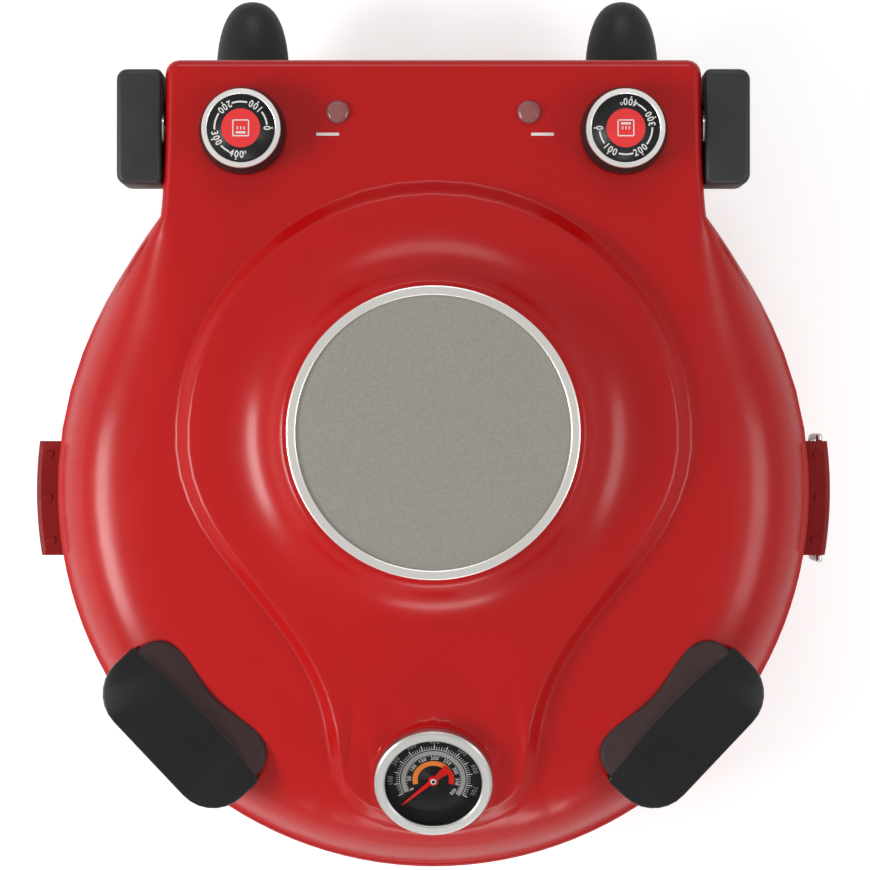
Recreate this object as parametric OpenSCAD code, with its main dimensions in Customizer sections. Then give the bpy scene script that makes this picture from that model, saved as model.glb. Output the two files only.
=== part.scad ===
// Countertop pizza oven with a hinged lid.
// X to the right, Y to the rear, Z up, millimetres. Origin: bottom centre of the bounding box.

/* [Rim and height] */
// Radius of the lid's rim
lid_r = 187.5; // [150:0.5:220]
// Radius of the base's rolled edge
base_r = 188; // [150:0.1:222]
// How far the base's bowl stands forward of the lid's centre
base_shift = 1.7; // [0:0.1:3]
// Height of the plane where lid and base meet
rim_z = 78; // [60:1:100]
// Wall of the pressed lid
lid_wall = 2.2; // [1.5:0.1:3]
// Wall of the base
base_wall = 2.4; // [1.5:0.1:4]
// Height of the feet
foot_h = 10; // [6:1:20]

/* [Control deck] */
// Half of the deck's width
deck_hw = 130.2; // [100:0.1:140]
// Rear edge of the deck, from the rim's centre
deck_rear = 208.5; // [195:0.1:220]
// Height of the deck
deck_z = 119; // [105:0.5:130]
// Corner radius of the deck
deck_corner = 7; // [5:1:20]
// Width that each side of the deck gains where it joins the round wall
deck_fillet = 2.4; // [0:0.1:5]
// Angle at which the deck's flared edge starts to leave the round shoulder
flare_start = 22; // [10:1:30]

/* [Raised keyhole panel] */
// Height of the raised panel
panel_z = 127.4; // [120:0.1:135]
// Centre of the panel's round part, behind the rim's centre
panel_cy = 24.85; // [15:0.05:35]
// Radius of the step's foot
panel_foot_r = 125.6; // [110:0.1:135]
// Radius of the step's top edge
panel_top_r = 116.5; // [100:0.1:130]
// Half width of the nose at the step's foot
nose_foot_w = 51; // [40:0.5:60]
// Half width of the nose at the step's top edge
nose_top_w = 43; // [34:0.5:52]
// Where the nose's straight sides end
nose_end = -135; // [-145:1:-125]
// Front of the nose at the step's foot
nose_foot_tip = -167; // [-175:0.5:-160]
// Front of the nose at the step's top edge
nose_top_tip = -159; // [-168:0.5:-150]

/* [Window] */
// Centre of the window, behind the rim's centre
window_y = 27.4; // [20:0.1:35]
// Height of the window's seat
window_z = 147; // [138:0.5:155]
// Outer radius of the metal ring
window_ring_r = 69.4; // [60:0.1:80]
// Inner radius of the metal ring
window_ring_in = 64.7; // [55:0.1:75]
// Radius of the opening below the pane
window_open_r = 62.5; // [50:0.5:64]
// Thickness of the pane
pane_t = 3; // [2:0.5:5]

/* [Thermometer] */
// Centre of its face, in front of the rim's centre
gauge_y = -141.6; // [-150:0.1:-130]
// Height of the centre of its face
gauge_z = 127.5; // [120:0.1:135]
// Tilt towards the front
gauge_tilt = 22; // [0:1:35]
// Radius of the bezel
gauge_r = 28.5; // [24:0.1:32]
// Radius that shows inside the bezel
gauge_face_r = 23.3; // [18:0.1:27]
// Depth of the bezel
gauge_bezel_h = 5; // [3:0.5:7]
// Angle of the pointer at rest, anticlockwise from the right
needle_rest = 221.8; // [180:0.1:270]
// Length of the thin end of the pointer
needle_len = 20.5; // [14:0.5:22]
// Length of the broad tail
needle_tail = 9.4; // [5:0.1:12]

/* [Knobs and lamps] */
// Knob centre from the middle
knob_x = 92; // [80:0.5:105]
// Knob centre behind the rim's centre
knob_y = 173; // [165:0.5:182]
// Radius of the knob's skirt
knob_skirt_r = 21; // [18:0.1:24]
// Radius of the metal ring
knob_ring_r = 19.1; // [16:0.1:22]
// Radius of the black dial
knob_dial_r = 16.4; // [12:0.1:19]
// Radius of the centre disc
knob_disc_r = 9.3; // [6:0.1:12]
// Height of the knob above the deck
knob_h = 14; // [10:0.5:20]
// Gap between knob and deck
knob_gap = 0.8; // [0.4:0.1:2]
// Number of grooves around the skirt
knob_flutes = 36; // [24:1:48]
// Radius of the control shafts
shaft_r = 3; // [2:0.1:4]
// Radial clearance of a shaft or pin in its bore
run_clear = 0.04; // [0.02:0.01:0.1]
// Lamp centre from the middle
lamp_x = 46.2; // [35:0.1:60]
// Lamp centre behind the rim's centre
lamp_y = 182.4; // [172:0.1:192]
// Radius of a lamp's lens
lamp_r = 5.6; // [3:0.1:8]

/* [Handles] */
// Direction of the handles from the front, to either side
handle_az = 46.6; // [40:0.1:60]
// Outer edge from the rim's centre
handle_out = 189.3; // [185:0.1:200]
// Inner edge of the grip from the rim's centre, at the grip's ends
handle_in = 156.9; // [148:0.1:165]
// How far the inner edge bulges towards the window
handle_bulge = 3.4; // [0:0.1:6]
// Half length of the grip
handle_hl = 44.4; // [35:0.1:55]
// Radius of the grip's outer corners
handle_corner = 20; // [8:1:26]
// Inner edge of the handle's foot, at its waist
handle_foot_in = 146; // [140:0.1:150]
// Top of the grip
handle_z = 122; // [115:0.5:130]
// Thickness of the grip
handle_t = 13; // [8:0.5:18]

/* [Hinge] */
// Hinge axis behind the rim's centre
hinge_y = 175.7; // [165:0.1:185]
// Height of the hinge axis
hinge_z = 105; // [98:0.5:112]
// Radius of the hinge pin
pin_r = 4; // [3:0.1:6]
// Inner face of a hinge tower
tower_in = 131.8; // [125:0.1:140]
// Outer face of a hinge tower
tower_out = 153.5; // [140:0.5:165]
// Length of a tower's head along Y
tower_len = 56; // [40:1:70]
// Top of a hinge tower
tower_z = 119; // [110:0.5:125]
// Height of the rear well under the swinging deck
well_z = 69.5; // [60:0.5:72]
// Half width of the neck
neck_hw = 127.5; // [110:0.5:130]
// Rear face of the neck
neck_rear = 205.5; // [195:0.5:210]

/* [Rear pegs and feet] */
// Half of the distance between the pegs' centres
peg_x = 94.4; // [80:0.1:110]
// How far the pair of pegs stands to the right
peg_mid = 1.9; // [-3:0.1:3]
// Peg centre height
peg_z = 48; // [35:1:60]
// Peg radius
peg_r = 18.7; // [12:0.1:22]
// How far a peg stands out of the neck
peg_len = 42.3; // [30:0.1:55]
// Foot radius
foot_r = 12; // [8:0.5:18]
// Foot centre from the middle
foot_x = 98; // [80:1:110]
// Front feet, from the rim's centre
foot_front = -98; // [-110:1:-80]
// Rear feet, from the rim's centre
foot_back = 170; // [120:1:185]

/* [Side tabs and bail] */
// How far the side tabs stand out of the base's edge
tab_out = 11.9; // [8:0.1:18]
// Half length of a side tab
tab_hl = 28.7; // [20:0.1:40]
// Centre of the side tabs, from the rim's centre
tab_y = -5.4; // [-15:0.1:15]
// Thickness of a side tab
tab_t = 9; // [5:0.5:14]
// Underside of a side tab
tab_z = 62; // [50:0.5:68]
// Radius of the bail's wire
bail_wire = 1.6; // [1:0.1:3]
// Pivot of the bail, inward from the tab's outer edge
bail_in = 5.2; // [4:0.1:8]
// Reach of the bail from its pivot
bail_len = 28; // [24:1:50]

/* [Baking chamber] */
// Radius of the baking stone
stone_r = 154; // [140:1:156]
// Gap between the stone and the pan's rim
stone_gap = 6; // [4:0.5:8]
// Thickness of the pan and of the lid's liner
pan_t = 1; // [0.6:0.1:2]
// Underside of the stone
stone_z = 49; // [40:1:56]
// Thickness of the stone
stone_t = 12; // [8:0.5:18]
// Radius of the heating tubes
tube_r = 3.25; // [2.5:0.05:5]
// Ring radius of the lower heating tube
low_ring_r = 112; // [90:1:130]
// Height of the lower heating tube
low_ring_z = 36; // [30:1:42]
// Ring radius of the upper heating tube
up_ring_r = 120; // [100:1:130]
// Height of the upper heating tube
up_ring_z = 100; // [92:1:105]
// Half of the gap between a tube's two legs
leg_x = 14; // [8:1:24]

/* [Hidden] */
$fn = 72;
rear_reach = neck_rear + peg_len;
front_reach = base_r + base_shift;
origin_y = (front_reach - rear_reach) / 2;
join_a = acos((deck_hw + deck_fillet) / lid_r);
pan_r = stone_r + stone_gap;
tab_r = base_r + tab_out;
bail_x = tab_r - bail_in;
shell_fit = 0.3;

// ---------------------------------------------------------------- lists and lofts

function lerp(a, b, t) = a + (b - a) * t;
function flat(l) = [for (a = l) for (b = a) b];
function arc(c, r, a0, a1, n) = [for (i = [0:n]) let (a = lerp(a0, a1, i / n))
    [c[0] + r * cos(a), c[1] + r * sin(a)]];
function bezier(p, t) = pow(1 - t, 3) * p[0] + 3 * pow(1 - t, 2) * t * p[1]
    + 3 * (1 - t) * t * t * p[2] + pow(t, 3) * p[3];
function mirrored(half) = concat(half, [for (i = [len(half) - 2:-1:1])
    [-half[i][0], half[i][1], half[i][2]]]);
// Two triangles for each cell of a band between rings a and b; the diagonal follows the symmetry.
function band(a, b, n) = flat([for (j = [0:n - 1]) let (k = (j + 1) % n)
    j < n / 2 ? [[a + j, a + k, b + k], [a + j, b + k, b + j]]
              : [[a + j, a + k, b + j], [a + k, b + k, b + j]]]);
function bands(rings, n) = flat([for (i = [0:rings - 2]) band(i * n, (i + 1) * n, n)]);

// Solid through a stack of closed outlines with equal point counts, low to high.
module loft(rings) {
    n = len(rings[0]);
    m = len(rings);
    polyhedron(points = flat(rings), faces = concat(
        [for (f = bands(m, n)) [f[2], f[1], f[0]]],
        [[for (j = [0:n - 1]) j]],
        [[for (j = [n - 1:-1:0]) (m - 1) * n + j]]), convexity = 4);
}
function at_height(outline, z) = [for (p = outline) [p[0], p[1], z]];

// ---------------------------------------------------------------- the lid's surface

// Distance inward from the rim against height, on the round side.
dome = [[0, rim_z], [0, 80.4], [1.6, 81.6], [2.6, 83.5], [6.5, 93], [11, 100.5], [17, 107.5],
    [25, 112.8], [35, 116.3], [48, 118.8], [62, 120.3], [90, 120.6]];
// The same for the deck; its first height follows the sweep about the hinge.
deck = [[0, rim_z], [0, 99], [0, 112], [0.35, 114.9], [1.3, 117.1], [2.9, 118.5], [5, deck_z],
    [8, deck_z], [12, deck_z], [18, deck_z]];
shoulder = len(deck) - 1;
// Radius from the window's centre against height.
mound = [[window_open_r, window_z], [71.5, window_z], [73.5, 146], [76.5, 142.5], [80, 138.3],
    [86, 133.6], [94, 130.4], [104, 128.4], [panel_top_r, panel_z], [400, panel_z]];
mound_in = [[93.2, 130.4], [78.2, 138.2], [74, 143.6], [70.6, window_z], [window_open_r, window_z]];
nose_from = -118;
nose_bend = 18;

rim_steps = [-90, -86, -82, -78.5, -75.5, -73, -70.5, -68, -65, -62, -58.5, -54.5, -50, -45, -39,
    -33, -27, -21, -15, -9, -3, 3, 9, 15, 21, 25.5, 29.5, 33, 36, 38.7, 41, 43, 44.7, 47, 50, 54];
rim_angles = concat([for (a = rim_steps) if (a < join_a - 0.8) a], [join_a]);
function flare(a) = pow(max(0, min(1, (a - flare_start) / (join_a - flare_start))), 1.7);
join_y = lid_r * sin(join_a);
side_len = deck_rear - deck_corner - join_y;
function side_y(t) = join_y + side_len * t;
function side_x(t) = deck_hw + deck_fillet * pow(1 - t, 3);
function side_lean(t) = atan(3 * deck_fillet * pow(1 - t, 2) / side_len);
swing_r = 34.2;
function sweep_z(y) = y <= hinge_y ? rim_z
    : max(rim_z, hinge_z - sqrt(max(0, swing_r * swing_r - pow(y - hinge_y, 2))));
// Right half of the lid's outline from front to rear: x, y, outward normal, deck share, lower edge.
outline = concat(
    [for (a = rim_angles) [lid_r * cos(a), lid_r * sin(a), cos(a), sin(a), flare(a), rim_z]],
    [for (t = [0.05, 0.14, 0.28, 0.46, 0.66, 0.84, 1])
        [side_x(t), side_y(t), cos(side_lean(t)), sin(side_lean(t)), 1, sweep_z(side_y(t))]],
    [for (a = [22.5, 45, 67.5]) let (y = deck_rear - deck_corner * (1 - sin(a)))
        [deck_hw - deck_corner * (1 - cos(a)), y, cos(a), sin(a), 1, sweep_z(y)]],
    [for (t = [1, 0.8, 0.6, 0.4, 0.2, 0]) [(deck_hw - deck_corner) * t, deck_rear, 0, 1, 1, sweep_z(deck_rear)]]);
half_n = len(outline);
ring_n = 2 * half_n - 2;

// Right half of a keyhole outline, as polar angle about the rim's centre against radius.
function keyhole(r, w, tip, k1, k2) = [for (p = concat(
    [for (i = [0:20]) let (a = 90 - 4.5 * i) [r * cos(a), panel_cy + r * sin(a)]],
    [for (i = [1:40]) bezier([[r, panel_cy], [r, panel_cy - k1], [w, nose_end + k2], [w, nose_end]], i / 40)],
    [for (i = [1:16]) let (a = 5.625 * i) [w * cos(a), nose_end + (tip - nose_end) * sin(a)]]))
    [atan2(p[1], p[0]), norm(p)]];
foot_line = keyhole(panel_foot_r, nose_foot_w, nose_foot_tip, 65, 75);
top_line = keyhole(panel_top_r, nose_top_w, nose_top_tip, 60, 74);

function nose_drop(y) = let (t = max(0, nose_from - y), k = tan(gauge_tilt))
    t < nose_bend ? k * t * t / (2 * nose_bend) : k * (t - nose_bend / 2);
function panel_height(p) = lookup(norm([p[0], p[1] - window_y]), mound) - nose_drop(p[1]);
function polar(o, line) = let (a = atan2(o[1], o[0]), r = lookup(a, line)) [r * cos(a), r * sin(a)];
// Room between the rim and the panel's foot, and how far the shoulder's points squeeze into it.
function room(o) = norm([o[0], o[1]]) - norm(polar(o, foot_line));
function squeeze(o) = min(1, (room(o) - 3 - dome[5][0]) / (dome[shoulder][0] - dome[5][0]));
function dome_d(o, k) = k <= 5 ? dome[k][0] : dome[5][0] + (dome[k][0] - dome[5][0]) * squeeze(o);
function dome_z(o, k) = k <= 5 ? dome[k][1] : lookup(dome_d(o, k), [for (i = [5:len(dome) - 1]) dome[i]]);
function prof_d(o, k) = lerp(dome_d(o, k), deck[k][0], o[4]);
function prof_z(o, k) = k == 0 ? o[5] : lerp(dome_z(o, k), deck[k][1], o[4]);
function inset(o, d, z) = [o[0] - o[2] * d, o[1] - o[3] * d, z];
function wall_pt(o, k) = inset(o, prof_d(o, k), prof_z(o, k));
// The same point moved into the metal by the wall thickness, across the profile between its neighbours.
function wall_in(o, k) = let (dd = prof_d(o, k + 1) - prof_d(o, k - 1), dz = prof_z(o, k + 1) - prof_z(o, k - 1),
    l = norm([dd, dz])) inset(o, prof_d(o, k) + lid_wall * dz / l, prof_z(o, k) - lid_wall * dd / l);
// First point inside the wall: on the deck it stays below the rounded edge, so the wall is upright there.
function wall_in_low(o) = let (p = wall_in(o, 3), q = inset(o, lid_wall, 112.5)) lerp(p, q, o[4]);
function foot_height(o) = lerp(lookup(room(o), dome), deck_z, o[4]);
function foot_pt(o) = concat(polar(o, foot_line), foot_height(o));
function top_pt(o) = let (p = polar(o, top_line)) concat(p, panel_height(p));
function step_pt(o, t, h) = let (a = foot_pt(o), b = top_pt(o)) [lerp(a[0], b[0], t), lerp(a[1], b[1], t), lerp(a[2], b[2], h)];
function mid_pt(o) = let (a = wall_pt(o, shoulder), b = foot_pt(o)) (a + b) / 2 + [0, 0, 0.12 * (1 - o[4])];
// Points of the rings around the window turn from the panel's own spacing to an even one.
function around(j, r, even, z) = let (p = top_pt(outline[j]),
    a = lerp(atan2(p[1] - window_y, p[0]), -90 + 180 * j / (half_n - 1), even))
    [r * cos(a), window_y + r * sin(a), z];
function across(j, t) = let (a = top_pt(outline[j]), b = around(j, 94, 0.35, 0), p = [lerp(a[0], b[0], t), lerp(a[1], b[1], t)])
    concat(p, panel_height(p));
function lowered(p, h) = [p[0], p[1], p[2] - h];

outer_half = concat(
    [for (k = [0:shoulder]) [for (o = outline) wall_pt(o, k)]],
    [[for (o = outline) mid_pt(o)], [for (o = outline) foot_pt(o)],
     [for (o = outline) step_pt(o, 0.28, 0.16)], [for (o = outline) step_pt(o, 0.72, 0.84)],
     [for (o = outline) top_pt(o)]],
    [for (t = [0.33, 0.67]) [for (j = [0:half_n - 1]) across(j, t)]],
    [for (i = [6:-1:0]) [for (j = [0:half_n - 1]) around(j, mound[i][0],
        i == 6 ? 0.35 : i == 5 ? 0.6 : i == 4 ? 0.8 : 1, mound[i][1])]]);
inner_half = concat(
    [[for (o = outline) inset(o, lid_wall, o[5])]],
    [[for (o = outline) wall_in_low(o)]],
    [for (k = [5, 6, 7, 8]) [for (o = outline) wall_in(o, k)]],
    [[for (o = outline) lowered(foot_pt(o), lid_wall)], [for (o = outline) lowered(top_pt(o), lid_wall)],
     [for (j = [0:half_n - 1]) lowered(across(j, 0.5), lid_wall)]],
    [for (i = [0:4]) [for (j = [0:half_n - 1]) around(j, mound_in[i][0], i == 0 ? 0.35 : 1, mound_in[i][1] - lid_wall)]]);

module lid_skin() {
    rings = concat([for (r = outer_half) mirrored(r)], [for (i = [len(inner_half) - 1:-1:0]) mirrored(inner_half[i])]);
    m = len(rings);
    polyhedron(points = flat(rings), faces = [for (f = concat(bands(m, ring_n), band((m - 1) * ring_n, 0, ring_n)))
        [f[2], f[1], f[0]]], convexity = 10);
}

// Solid below the shoulder over a stretch of the right half, used to seat a handle on it.
module shoulder_block(j0, j1, depth) {
    rows = [for (k = [1:shoulder]) [for (j = [j0:j1]) wall_pt(outline[j], k)]];
    nk = len(rows);
    nj = j1 - j0 + 1;
    n = nk * nj;
    grid = flat(rows);
    edge = concat([for (j = [0:nj - 1]) j], [for (k = [1:nk - 1]) k * nj + nj - 1],
        [for (j = [nj - 2:-1:0]) (nk - 1) * nj + j], [for (k = [nk - 2:-1:1]) k * nj]);
    polyhedron(points = concat(grid, [for (p = grid) lowered(p, depth)]), faces = concat(
        flat([for (k = [0:nk - 2]) for (j = [0:nj - 2]) let (a = k * nj + j)
            [[a + nj + 1, a + 1, a], [a + nj, a + nj + 1, a]]]),
        flat([for (k = [0:nk - 2]) for (j = [0:nj - 2]) let (a = n + k * nj + j)
            [[a, a + 1, a + nj + 1], [a, a + nj + 1, a + nj]]]),
        flat([for (i = [0:len(edge) - 1]) let (a = edge[i], b = edge[(i + 1) % len(edge)])
            [[a, b, b + n], [a, b + n, a + n]]])), convexity = 6);
}

// ---------------------------------------------------------------- helpers

module place() translate([0, origin_y, 0]) children();
module both() { children(); mirror([1, 0, 0]) children(); }
module ring(r_out, r_in, h) difference() { cylinder(r = r_out, h = h); translate([0, 0, -1]) cylinder(r = r_in, h = h + 2); }
module at_gauge() translate([0, gauge_y, gauge_z]) rotate([gauge_tilt, 0, 0]) children();
module along_x(x0, x1, y, z, r) translate([x0, y, z]) rotate([0, 90, 0]) cylinder(r = r, h = x1 - x0);
module along_y(x, y0, y1, z, r) translate([x, y0, z]) rotate([-90, 0, 0]) cylinder(r = r, h = y1 - y0);
module slab(x, y, r, h) linear_extrude(h) rounded(x, y, r);
module rounded(x, y, r) {
    square([x - 2 * r, y], center = true);
    square([x, y - 2 * r], center = true);
    for (i = [-1, 1], j = [-1, 1]) translate([i * (x / 2 - r), j * (y / 2 - r)]) circle(r = r);
}
// Open ring of heating tube with two legs to the rear.
leg_out = 172;
module heating_tube(ring_r, z, end_y, r) {
    gap = asin(leg_x / ring_r);
    rotate([0, 0, 90 + gap]) rotate_extrude(angle = 360 - 2 * gap) translate([ring_r, z]) circle(r = r);
    both() {
        along_y(leg_x, ring_r * cos(gap), end_y, z, r);
        translate([leg_x, ring_r * cos(gap), z]) sphere(r = r + 0.1);
    }
}

// ---------------------------------------------------------------- base

red = [0.70, 0.05, 0.06];
dark_red = [0.48, 0.07, 0.08];
black = [0.09, 0.09, 0.09];
steel = [0.78, 0.78, 0.76];

// Outer profile of the bowl, from the bottom to the rim.
bowl = [for (p = [[38, 0], [31, 1.2], [24.5, 4.6], [18.5, 10], [12.5, 19], [7, 31], [2.7, 42], [0.4, 49]])
    [base_r - p[0], foot_h + p[1]]];
bowl_r = bowl[len(bowl) - 1][0];
flange_t = 1.6;
bottom_open = 112;
neck_round = 12;
well_front = 143;
cord_z = 32;
module at_bowl() translate([0, -base_shift, 0]) children();
module bowl_solid(t, top) rotate_extrude() polygon(concat([[0, foot_h + t]],
    [for (i = [0:len(bowl) - 1]) let (w = i / (len(bowl) - 1)) [bowl[i][0] - t * w, bowl[i][1] + t * (1 - w * w)]],
    [[bowl_r - t, top], [0, top]]));
module neck_block(t, z0, z1, round) translate([0, (neck_rear - t) / 2, z0])
    slab(2 * (neck_hw - t), neck_rear - t, round, z1 - z0);

module base_shell() color(red) place() difference() {
    union() {
        at_bowl() rotate_extrude() polygon(concat([[0, foot_h]], bowl, [[bowl_r, rim_z - 4], [base_r, rim_z - 3],
            [base_r, rim_z - 1.2], [base_r - 1.2, rim_z], [0, rim_z]]));
        neck_block(0, foot_h, well_z, neck_round);
    }
    at_bowl() bowl_solid(base_wall, rim_z - flange_t);
    translate([0, 0, foot_h - 1]) cylinder(r = bottom_open, h = rim_z);
    translate([0, 0, rim_z - flange_t - 1]) cylinder(r = pan_r + pan_t, h = 50);
    difference() {
        neck_block(base_wall, foot_h + base_wall, 200, neck_round - base_wall);
        translate([-200, -1, 0]) cube([400, 60, 300]);
    }
    translate([-neck_hw - 6, well_front, well_z]) cube([2 * neck_hw + 12, 100, 30]);
    along_y(0, neck_rear - 10, neck_rear + 10, cord_z, cord_neck_r);
}

// Side tab: a moulded strip around the bowl, cut off square at both ends.
module grip() intersection() {
    at_bowl() rotate_extrude() polygon([[bowl_r, tab_z], [tab_r - 2.5, tab_z], [tab_r - 0.7, tab_z + 0.8],
        [tab_r, tab_z + 2.5], [tab_r, tab_z + tab_t - 2.5], [tab_r - 0.7, tab_z + tab_t - 0.8],
        [tab_r - 2.5, tab_z + tab_t], [bowl_r, tab_z + tab_t]]);
    translate([bowl_r / 2, tab_y - tab_hl, tab_z - 1]) cube([tab_r, 2 * tab_hl, tab_t + 2]);
}
module right_grip() color(dark_red) place() difference() {
    grip();
    bail_pivots();
}
module left_grip() color(dark_red) place() mirror([1, 0, 0]) grip();

rivet_r = 2.5;
rivet_in = 6;
rivet_step = 6.4;
module grip_rivets() color(dark_red) place() both() for (i = [-1:1])
    rotate([0, 0, asin(tab_y / tab_r) + i * rivet_step]) translate([tab_r - rivet_in, 0, tab_z + tab_t])
        cylinder(r1 = rivet_r, r2 = rivet_r - 0.5, h = 0.5);

pan_floor = 20;
pan_low_r = pan_r - 12;
module base_liner() color([0.72, 0.72, 0.70]) place() difference() {
    rotate_extrude() polygon([[0, pan_floor], [pan_low_r - 6, pan_floor], [pan_low_r - 1, pan_floor + 2],
        [pan_low_r + 2, pan_floor + 7], [pan_r + pan_t, rim_z - 8], [pan_r + pan_t, rim_z - 0.8],
        [pan_r, rim_z - 0.8], [pan_r, rim_z - 8], [pan_low_r + 1, pan_floor + 7 + pan_t],
        [pan_low_r - 1.6, pan_floor + 2 + pan_t], [pan_low_r - 6, pan_floor + pan_t], [0, pan_floor + pan_t]]);
    both() along_y(leg_x, 130, 180, low_ring_z, tube_r);
    difference() {
        translate([-170, well_front, well_z]) cube([340, 60, 30]);
        cylinder(r = pan_r + pan_t + 5, h = 200);
    }
}

module baking_stone() color([0.80, 0.74, 0.64]) place() translate([0, 0, stone_z]) rotate_extrude()
    polygon([[0, 0], [stone_r - 2, 0], [stone_r, 2], [stone_r, stone_t - 2], [stone_r - 2, stone_t], [0, stone_t]]);

support_r = 5;
support_ring = pan_low_r - 12;
module stone_supports() color(steel) place() for (a = [45:90:315]) rotate([0, 0, a])
    translate([support_ring, 0, pan_floor + pan_t]) cylinder(r = support_r, h = stone_z - pan_floor - pan_t);

module lower_element() color([0.25, 0.24, 0.23]) place() heating_tube(low_ring_r, low_ring_z, leg_out, tube_r);
module lower_clips() color(steel) place() for (a = [0, 135, 225]) difference() {
    rotate([0, 0, a]) translate([low_ring_r - 6, -5, pan_floor + pan_t]) cube([12, 10, low_ring_z - pan_floor]);
    heating_tube(low_ring_r, low_ring_z, leg_out, tube_r);
}

module rear_plate() color(black) place() difference() {
    intersection() {
        neck_block(base_wall, well_z - 2.5, well_z - 1, neck_round - base_wall);
        translate([-200, 60, 0]) cube([400, 200, 200]);
    }
    cylinder(r = pan_r + pan_t, h = 200);
    difference() {
        translate([-200, 0, 0]) cube([400, well_front + 0.2, 200]);
        cylinder(r = 150, h = 200);
    }
}

cover_r = bottom_open + 12;
cover_screw_ring = bottom_open + 6;
module bottom_cover() color([0.55, 0.55, 0.54]) place() translate([0, 0, foot_h - 1.5]) difference() {
    cylinder(r = cover_r, h = 1.5);
    for (s = [-1, 1], i = [-3:3]) translate([s * 60 - 20, i * 12 - 2, -1]) cube([40, 4, 4]);
    for (a = [0:60:300]) rotate([0, 0, a]) translate([cover_screw_ring, 0, -1]) cylinder(r = 2, h = 4);
}
module cover_screws() color(steel) place() for (a = [0:60:300]) rotate([0, 0, a])
    translate([cover_screw_ring, 0, foot_h - 3.2]) {
        cylinder(r = 3.6, h = 1.7);
        cylinder(r = 2, h = 3.2);
    }

module feet() color(black) place() for (x = [-foot_x, foot_x], y = [foot_front, foot_back])
    translate([x, y, 0]) rotate_extrude() polygon([[0, 0], [foot_r - 1.5, 0], [foot_r - 0.4, 0.6], [foot_r, 2],
        [foot_r - 1, foot_h], [0, foot_h]]);

// Peg with a full, rounded end: a quarter of a superellipse turned about its axis.
peg_full = 0.8;
module peg(x) translate([x, neck_rear, peg_z]) rotate([-90, 0, 0]) rotate_extrude() polygon(concat(
    [[0, 0], [peg_r, 0]], [for (a = [6:6:90]) [peg_r * pow(cos(a), peg_full), peg_len * pow(sin(a), peg_full)]]));
module right_rear_peg() color(black) place() peg(peg_mid + peg_x);
module left_rear_peg() color(black) place() peg(peg_mid - peg_x);

// Head of a hinge tower with softened corners, on a leg against the neck.
tower_round = 5;
tower_drop = 30;
tower_edge = 2;
leg_w = 28;
leg_low = 42;
leg_back = tower_out - 5;
pin_end = tower_out - 6;
function tower_line(s) = let (front = hinge_y - tower_len / 2, rear = hinge_y + tower_len / 2,
    r = tower_round - min(s, tower_round - 0.5), x = tower_in + tower_edge + 0.5 * s) concat(
    arc([tower_out - tower_round, front + tower_round], r, -90, 0, 4),
    arc([tower_out - tower_round, rear - tower_round], r, 0, 90, 4),
    arc([x, rear - tower_edge - 0.8 * s], tower_edge, 90, 180, 2),
    arc([x, front + tower_edge + 0.8 * s], tower_edge, 180, 270, 2));
module tower() difference() {
    union() {
        loft([for (s = [[0, 3], [2.5, 0.8], [5.5, 0], [tower_drop - 3.2, 0], [tower_drop - 1.2, 0.7],
            [tower_drop - 0.3, 1.7], [tower_drop, 3]]) at_height(tower_line(s[1]), tower_z - tower_drop + s[0])]);
        translate([neck_hw, hinge_y - leg_w / 2, leg_low]) cube([leg_back - neck_hw, leg_w, well_z - 1 - leg_low]);
        translate([tower_in, hinge_y - leg_w / 2, leg_low + 8])
            cube([leg_back - tower_in, leg_w, tower_z - tower_drop + 5 - leg_low - 8]);
    }
    along_x(tower_in - 1, pin_end, hinge_y, hinge_z, pin_r);
}
module right_hinge_tower() color(black) place() tower();
module left_hinge_tower() color(black) place() mirror([1, 0, 0]) tower();

bracket_t = 5;
bracket_in = deck_hw - lid_wall - bracket_t;
washer_r = 9;
washer_t = 0.7;
module hinge_pins() color(steel) place() both() {
    along_x(bracket_in - 1, pin_end, hinge_y, hinge_z, pin_r);
    along_x(tower_in - washer_t, tower_in, hinge_y, hinge_z, washer_r);
}

cord_neck_r = 6.5;
cord_bore_r = 4;
module cord_gland() color(black) place() difference() {
    union() {
        along_y(0, neck_rear - base_wall - 3, neck_rear, cord_z, cord_neck_r);
        along_y(0, neck_rear, neck_rear + 9, cord_z, cord_neck_r + 3.5);
    }
    along_y(0, neck_rear - 20, neck_rear + 20, cord_z, cord_bore_r);
}

module terminal_block() color([0.85, 0.84, 0.78]) place() translate([-22, 176, foot_h + base_wall]) difference() {
    cube([44, 16, 14]);
    for (i = [0:2]) translate([9 + 13 * i, 8, 8]) cylinder(r = 3, h = 8);
}

bail_z = tab_z + tab_t / 2;
bail_side = bail_wire + 0.6;
bail_y0 = tab_y - tab_hl - bail_side;
bail_y1 = tab_y + tab_hl + bail_side;
bail_hook = 8.5;
module bail_pivots() {
    along_y(bail_x, bail_y0, bail_y0 + bail_hook + 0.5, bail_z, bail_wire + run_clear);
    along_y(bail_x, bail_y1 - bail_hook - 0.5, bail_y1, bail_z, bail_wire + run_clear);
}
bail_bend = 6;
module latch_bail() color(steel) place() translate([bail_x, 0, bail_z]) {
    for (s = [0, 1]) {
        y = s == 0 ? bail_y0 : bail_y1;
        d = s == 0 ? 1 : -1;
        translate([0, y, 0]) sphere(r = bail_wire);
        along_y(0, min(y, y + d * bail_hook), max(y, y + d * bail_hook), 0, bail_wire);
        translate([0, y, -bail_len + bail_bend]) cylinder(r = bail_wire, h = bail_len - bail_bend);
        translate([0, y + d * bail_bend, -bail_len + bail_bend]) rotate([90, 0, 90])
            rotate([0, 0, s == 0 ? 180 : 270]) rotate_extrude(angle = 90) translate([bail_bend, 0]) circle(r = bail_wire);
    }
    along_y(0, bail_y0 + bail_bend, bail_y1 - bail_bend, -bail_len, bail_wire);
}

// ---------------------------------------------------------------- lid

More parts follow.
